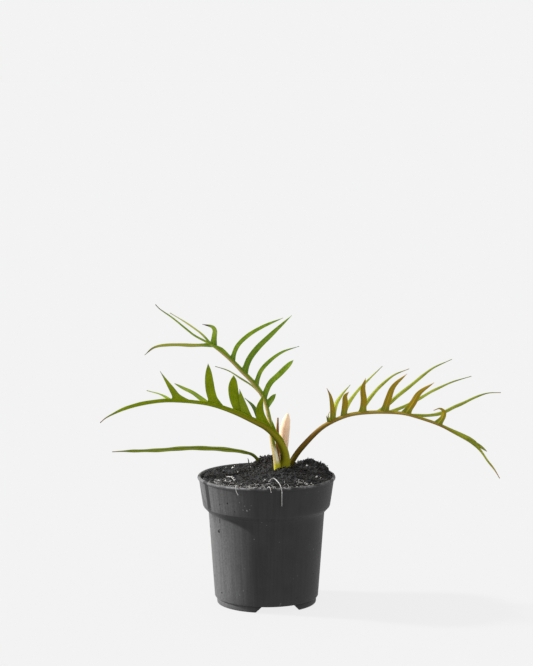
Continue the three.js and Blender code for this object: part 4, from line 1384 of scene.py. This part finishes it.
def studio():
    """A pale lit floor, an even pale sky, and a soft light from the left and a little behind."""
    scene = bpy.context.scene
    scene.world = bpy.data.worlds.new("sky")
    scene.world.use_nodes = True
    sky = scene.world.node_tree.nodes["Background"]
    sky.inputs["Color"].default_value = linear(PALE)
    sky.inputs["Strength"].default_value = 1
    material, tree = new_material("pale_floor")
    surface = add(tree, "BsdfPrincipled", {
        "Base Color": linear(FLOOR_GREY), "Roughness": 1, "Specular IOR Level": 0,
        "Emission Color": linear(PALE), "Emission Strength": FLOOR_GLOW,
    })
    add(tree, "OutputMaterial", {"Surface": surface})
    signs = ((-1, -1), (1, -1), (1, 1), (-1, 1))
    corners = [(x * FLOOR_REACH, y * FLOOR_REACH, 0) for x, y in signs]
    floor = mesh_object("floor", corners, [(0, 1, 2, 3)])
    floor.data.materials.append(material)
    lamp = bpy.data.lights.new("window", "SUN")
    lamp.angle = WINDOW_WIDTH
    lamp.energy = WINDOW_POWER
    light = bpy.data.objects.new("window", lamp)
    scene.collection.objects.link(light)
    light.location = Vector(SUNWARD) * math.cos(LIGHT_RISE) + Vector((0, 0, math.sin(LIGHT_RISE)))
    light.rotation_euler = light.location.to_track_quat("Z", "Y").to_euler()


# The camera stands level with the leaves' height, 2.1 m in front, and looks a little down
FOCAL_PIXELS = 2470
FRAME_PIXELS = 666
CAMERA_PLACE = (0, -2.105, 0.533)
CAMERA_TILT = math.radians(90 - 8.02)


def camera():
    lens = bpy.data.cameras.new("camera")
    lens.lens = FOCAL_PIXELS / FRAME_PIXELS * lens.sensor_width
    view = bpy.data.objects.new("camera", lens)
    view.location = CAMERA_PLACE
    view.rotation_euler = (CAMERA_TILT, 0, 0)
    bpy.context.scene.collection.objects.link(view)
    bpy.context.scene.camera = view


camera()
studio()

MATERIALS = {
    # Moist peat: dark, fibrous and dull
    "peat": rough_matter("moist_peat", "#202020", "#3a3a3a", 0.0012, 0.0006, 0.95),
    # Expanded perlite: white volcanic glass foam, stained by the peat
    "grit": rough_matter("perlite_grit", "#9c9a98", "#e6e5e2", 0.0008, 0.0003, 0.8),
    # Dry root bark: pale, thin and slightly glossy
    "root": rough_matter("root_bark", "#8e8c8a", "#cbc9c6", 0.0010, 0.0002, 0.6),
    # Peat fibres: pale grey threads
    "fibre": rough_matter("peat_fibre", "#82807e", "#c2c0bd", 0.0010, 0.0001, 0.7),
    # Dried splashes of hard water and silt on the pot
    "dust_and_painted_light": rough_matter("dried_splash", "#4c4c4c", "#6e6e6c", 0.0008, 0.0002, 0.8),
    # Splashes of wet peat, darker than the soil that has dried on top
    "splash": rough_matter("wet_peat_splash", "#0e0e0e", "#242424", 0.0008, 0.0002, 0.7),
    # Dead twigs and bark bits, nearly black with water
    "stick": rough_matter("wet_twig", "#1c1a18", "#3d3833", 0.0010, 0.0003, 0.8),
    # Green corky stem
    "stem": rough_matter("corky_stem", "#5a4c26", "#7d6d3c", 0.0015, 0.0004, 0.75),
}
PINK_SHEATH = papery_sheath("pink_bud_sheath", "#fcd4b4", "#f4dab6", "#e6b698", 0.6)
DRY_SHEATH_PAPER = papery_sheath("dry_bud_sheath", "#8a5424", "#a5783c", "#5c3414", 0.7)

pot()
soil()
strewn("peat_crumbs", 1500, (0.0008, 0.0026), 1, 21, anywhere, MATERIALS["peat"])
strewn("heap_crumbs", 420, (0.0014, 0.0040), 2, 22, on_heaps, MATERIALS["peat"])
strewn("perlite", 80, (0.0006, 0.0022), 2, 23, grit_place, MATERIALS["grit"])
fibres("pale_fibres", 110, fibre_place, (0.005, 0.014), 0.0002, 31, MATERIALS["fibre"], "root")
fibres("dark_fibres", 160, anywhere, (0.006, 0.018), 0.0003, 32, MATERIALS["stick"], "soil")
splinters("splinters", 260, 33)
clods()
sticks()
pot_specks("pot_specks", SPECKS, 11, MATERIALS["splash"])
pot_specks("pot_flecks", FLECKS, 12, MATERIALS["dust_and_painted_light"])
for number, points in enumerate(ROOTS, 1):
    root(number, points)
sheath("bud_sheath", BUD_SHEATH, PINK_SHEATH, "sheath_pink", lapped)
sheath("dry_sheath", DRY_SHEATH, DRY_SHEATH_PAPER, "sheath_dry", shrivelled)
leaf("leaf_left", LEFT_LEAF, "leaf_olive")
leaf("leaf_upper", UPPER_LEAF, "leaf_green")
leaf("leaf_right", RIGHT_LEAF, "leaf_bronze")
leaf("leaf_low", LOW_LEAF, "leaf_olive")
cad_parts["stem"].data.materials.clear()
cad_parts["stem"].data.materials.append(MATERIALS["stem"])
bpy.context.scene.view_settings.view_transform = "Standard"
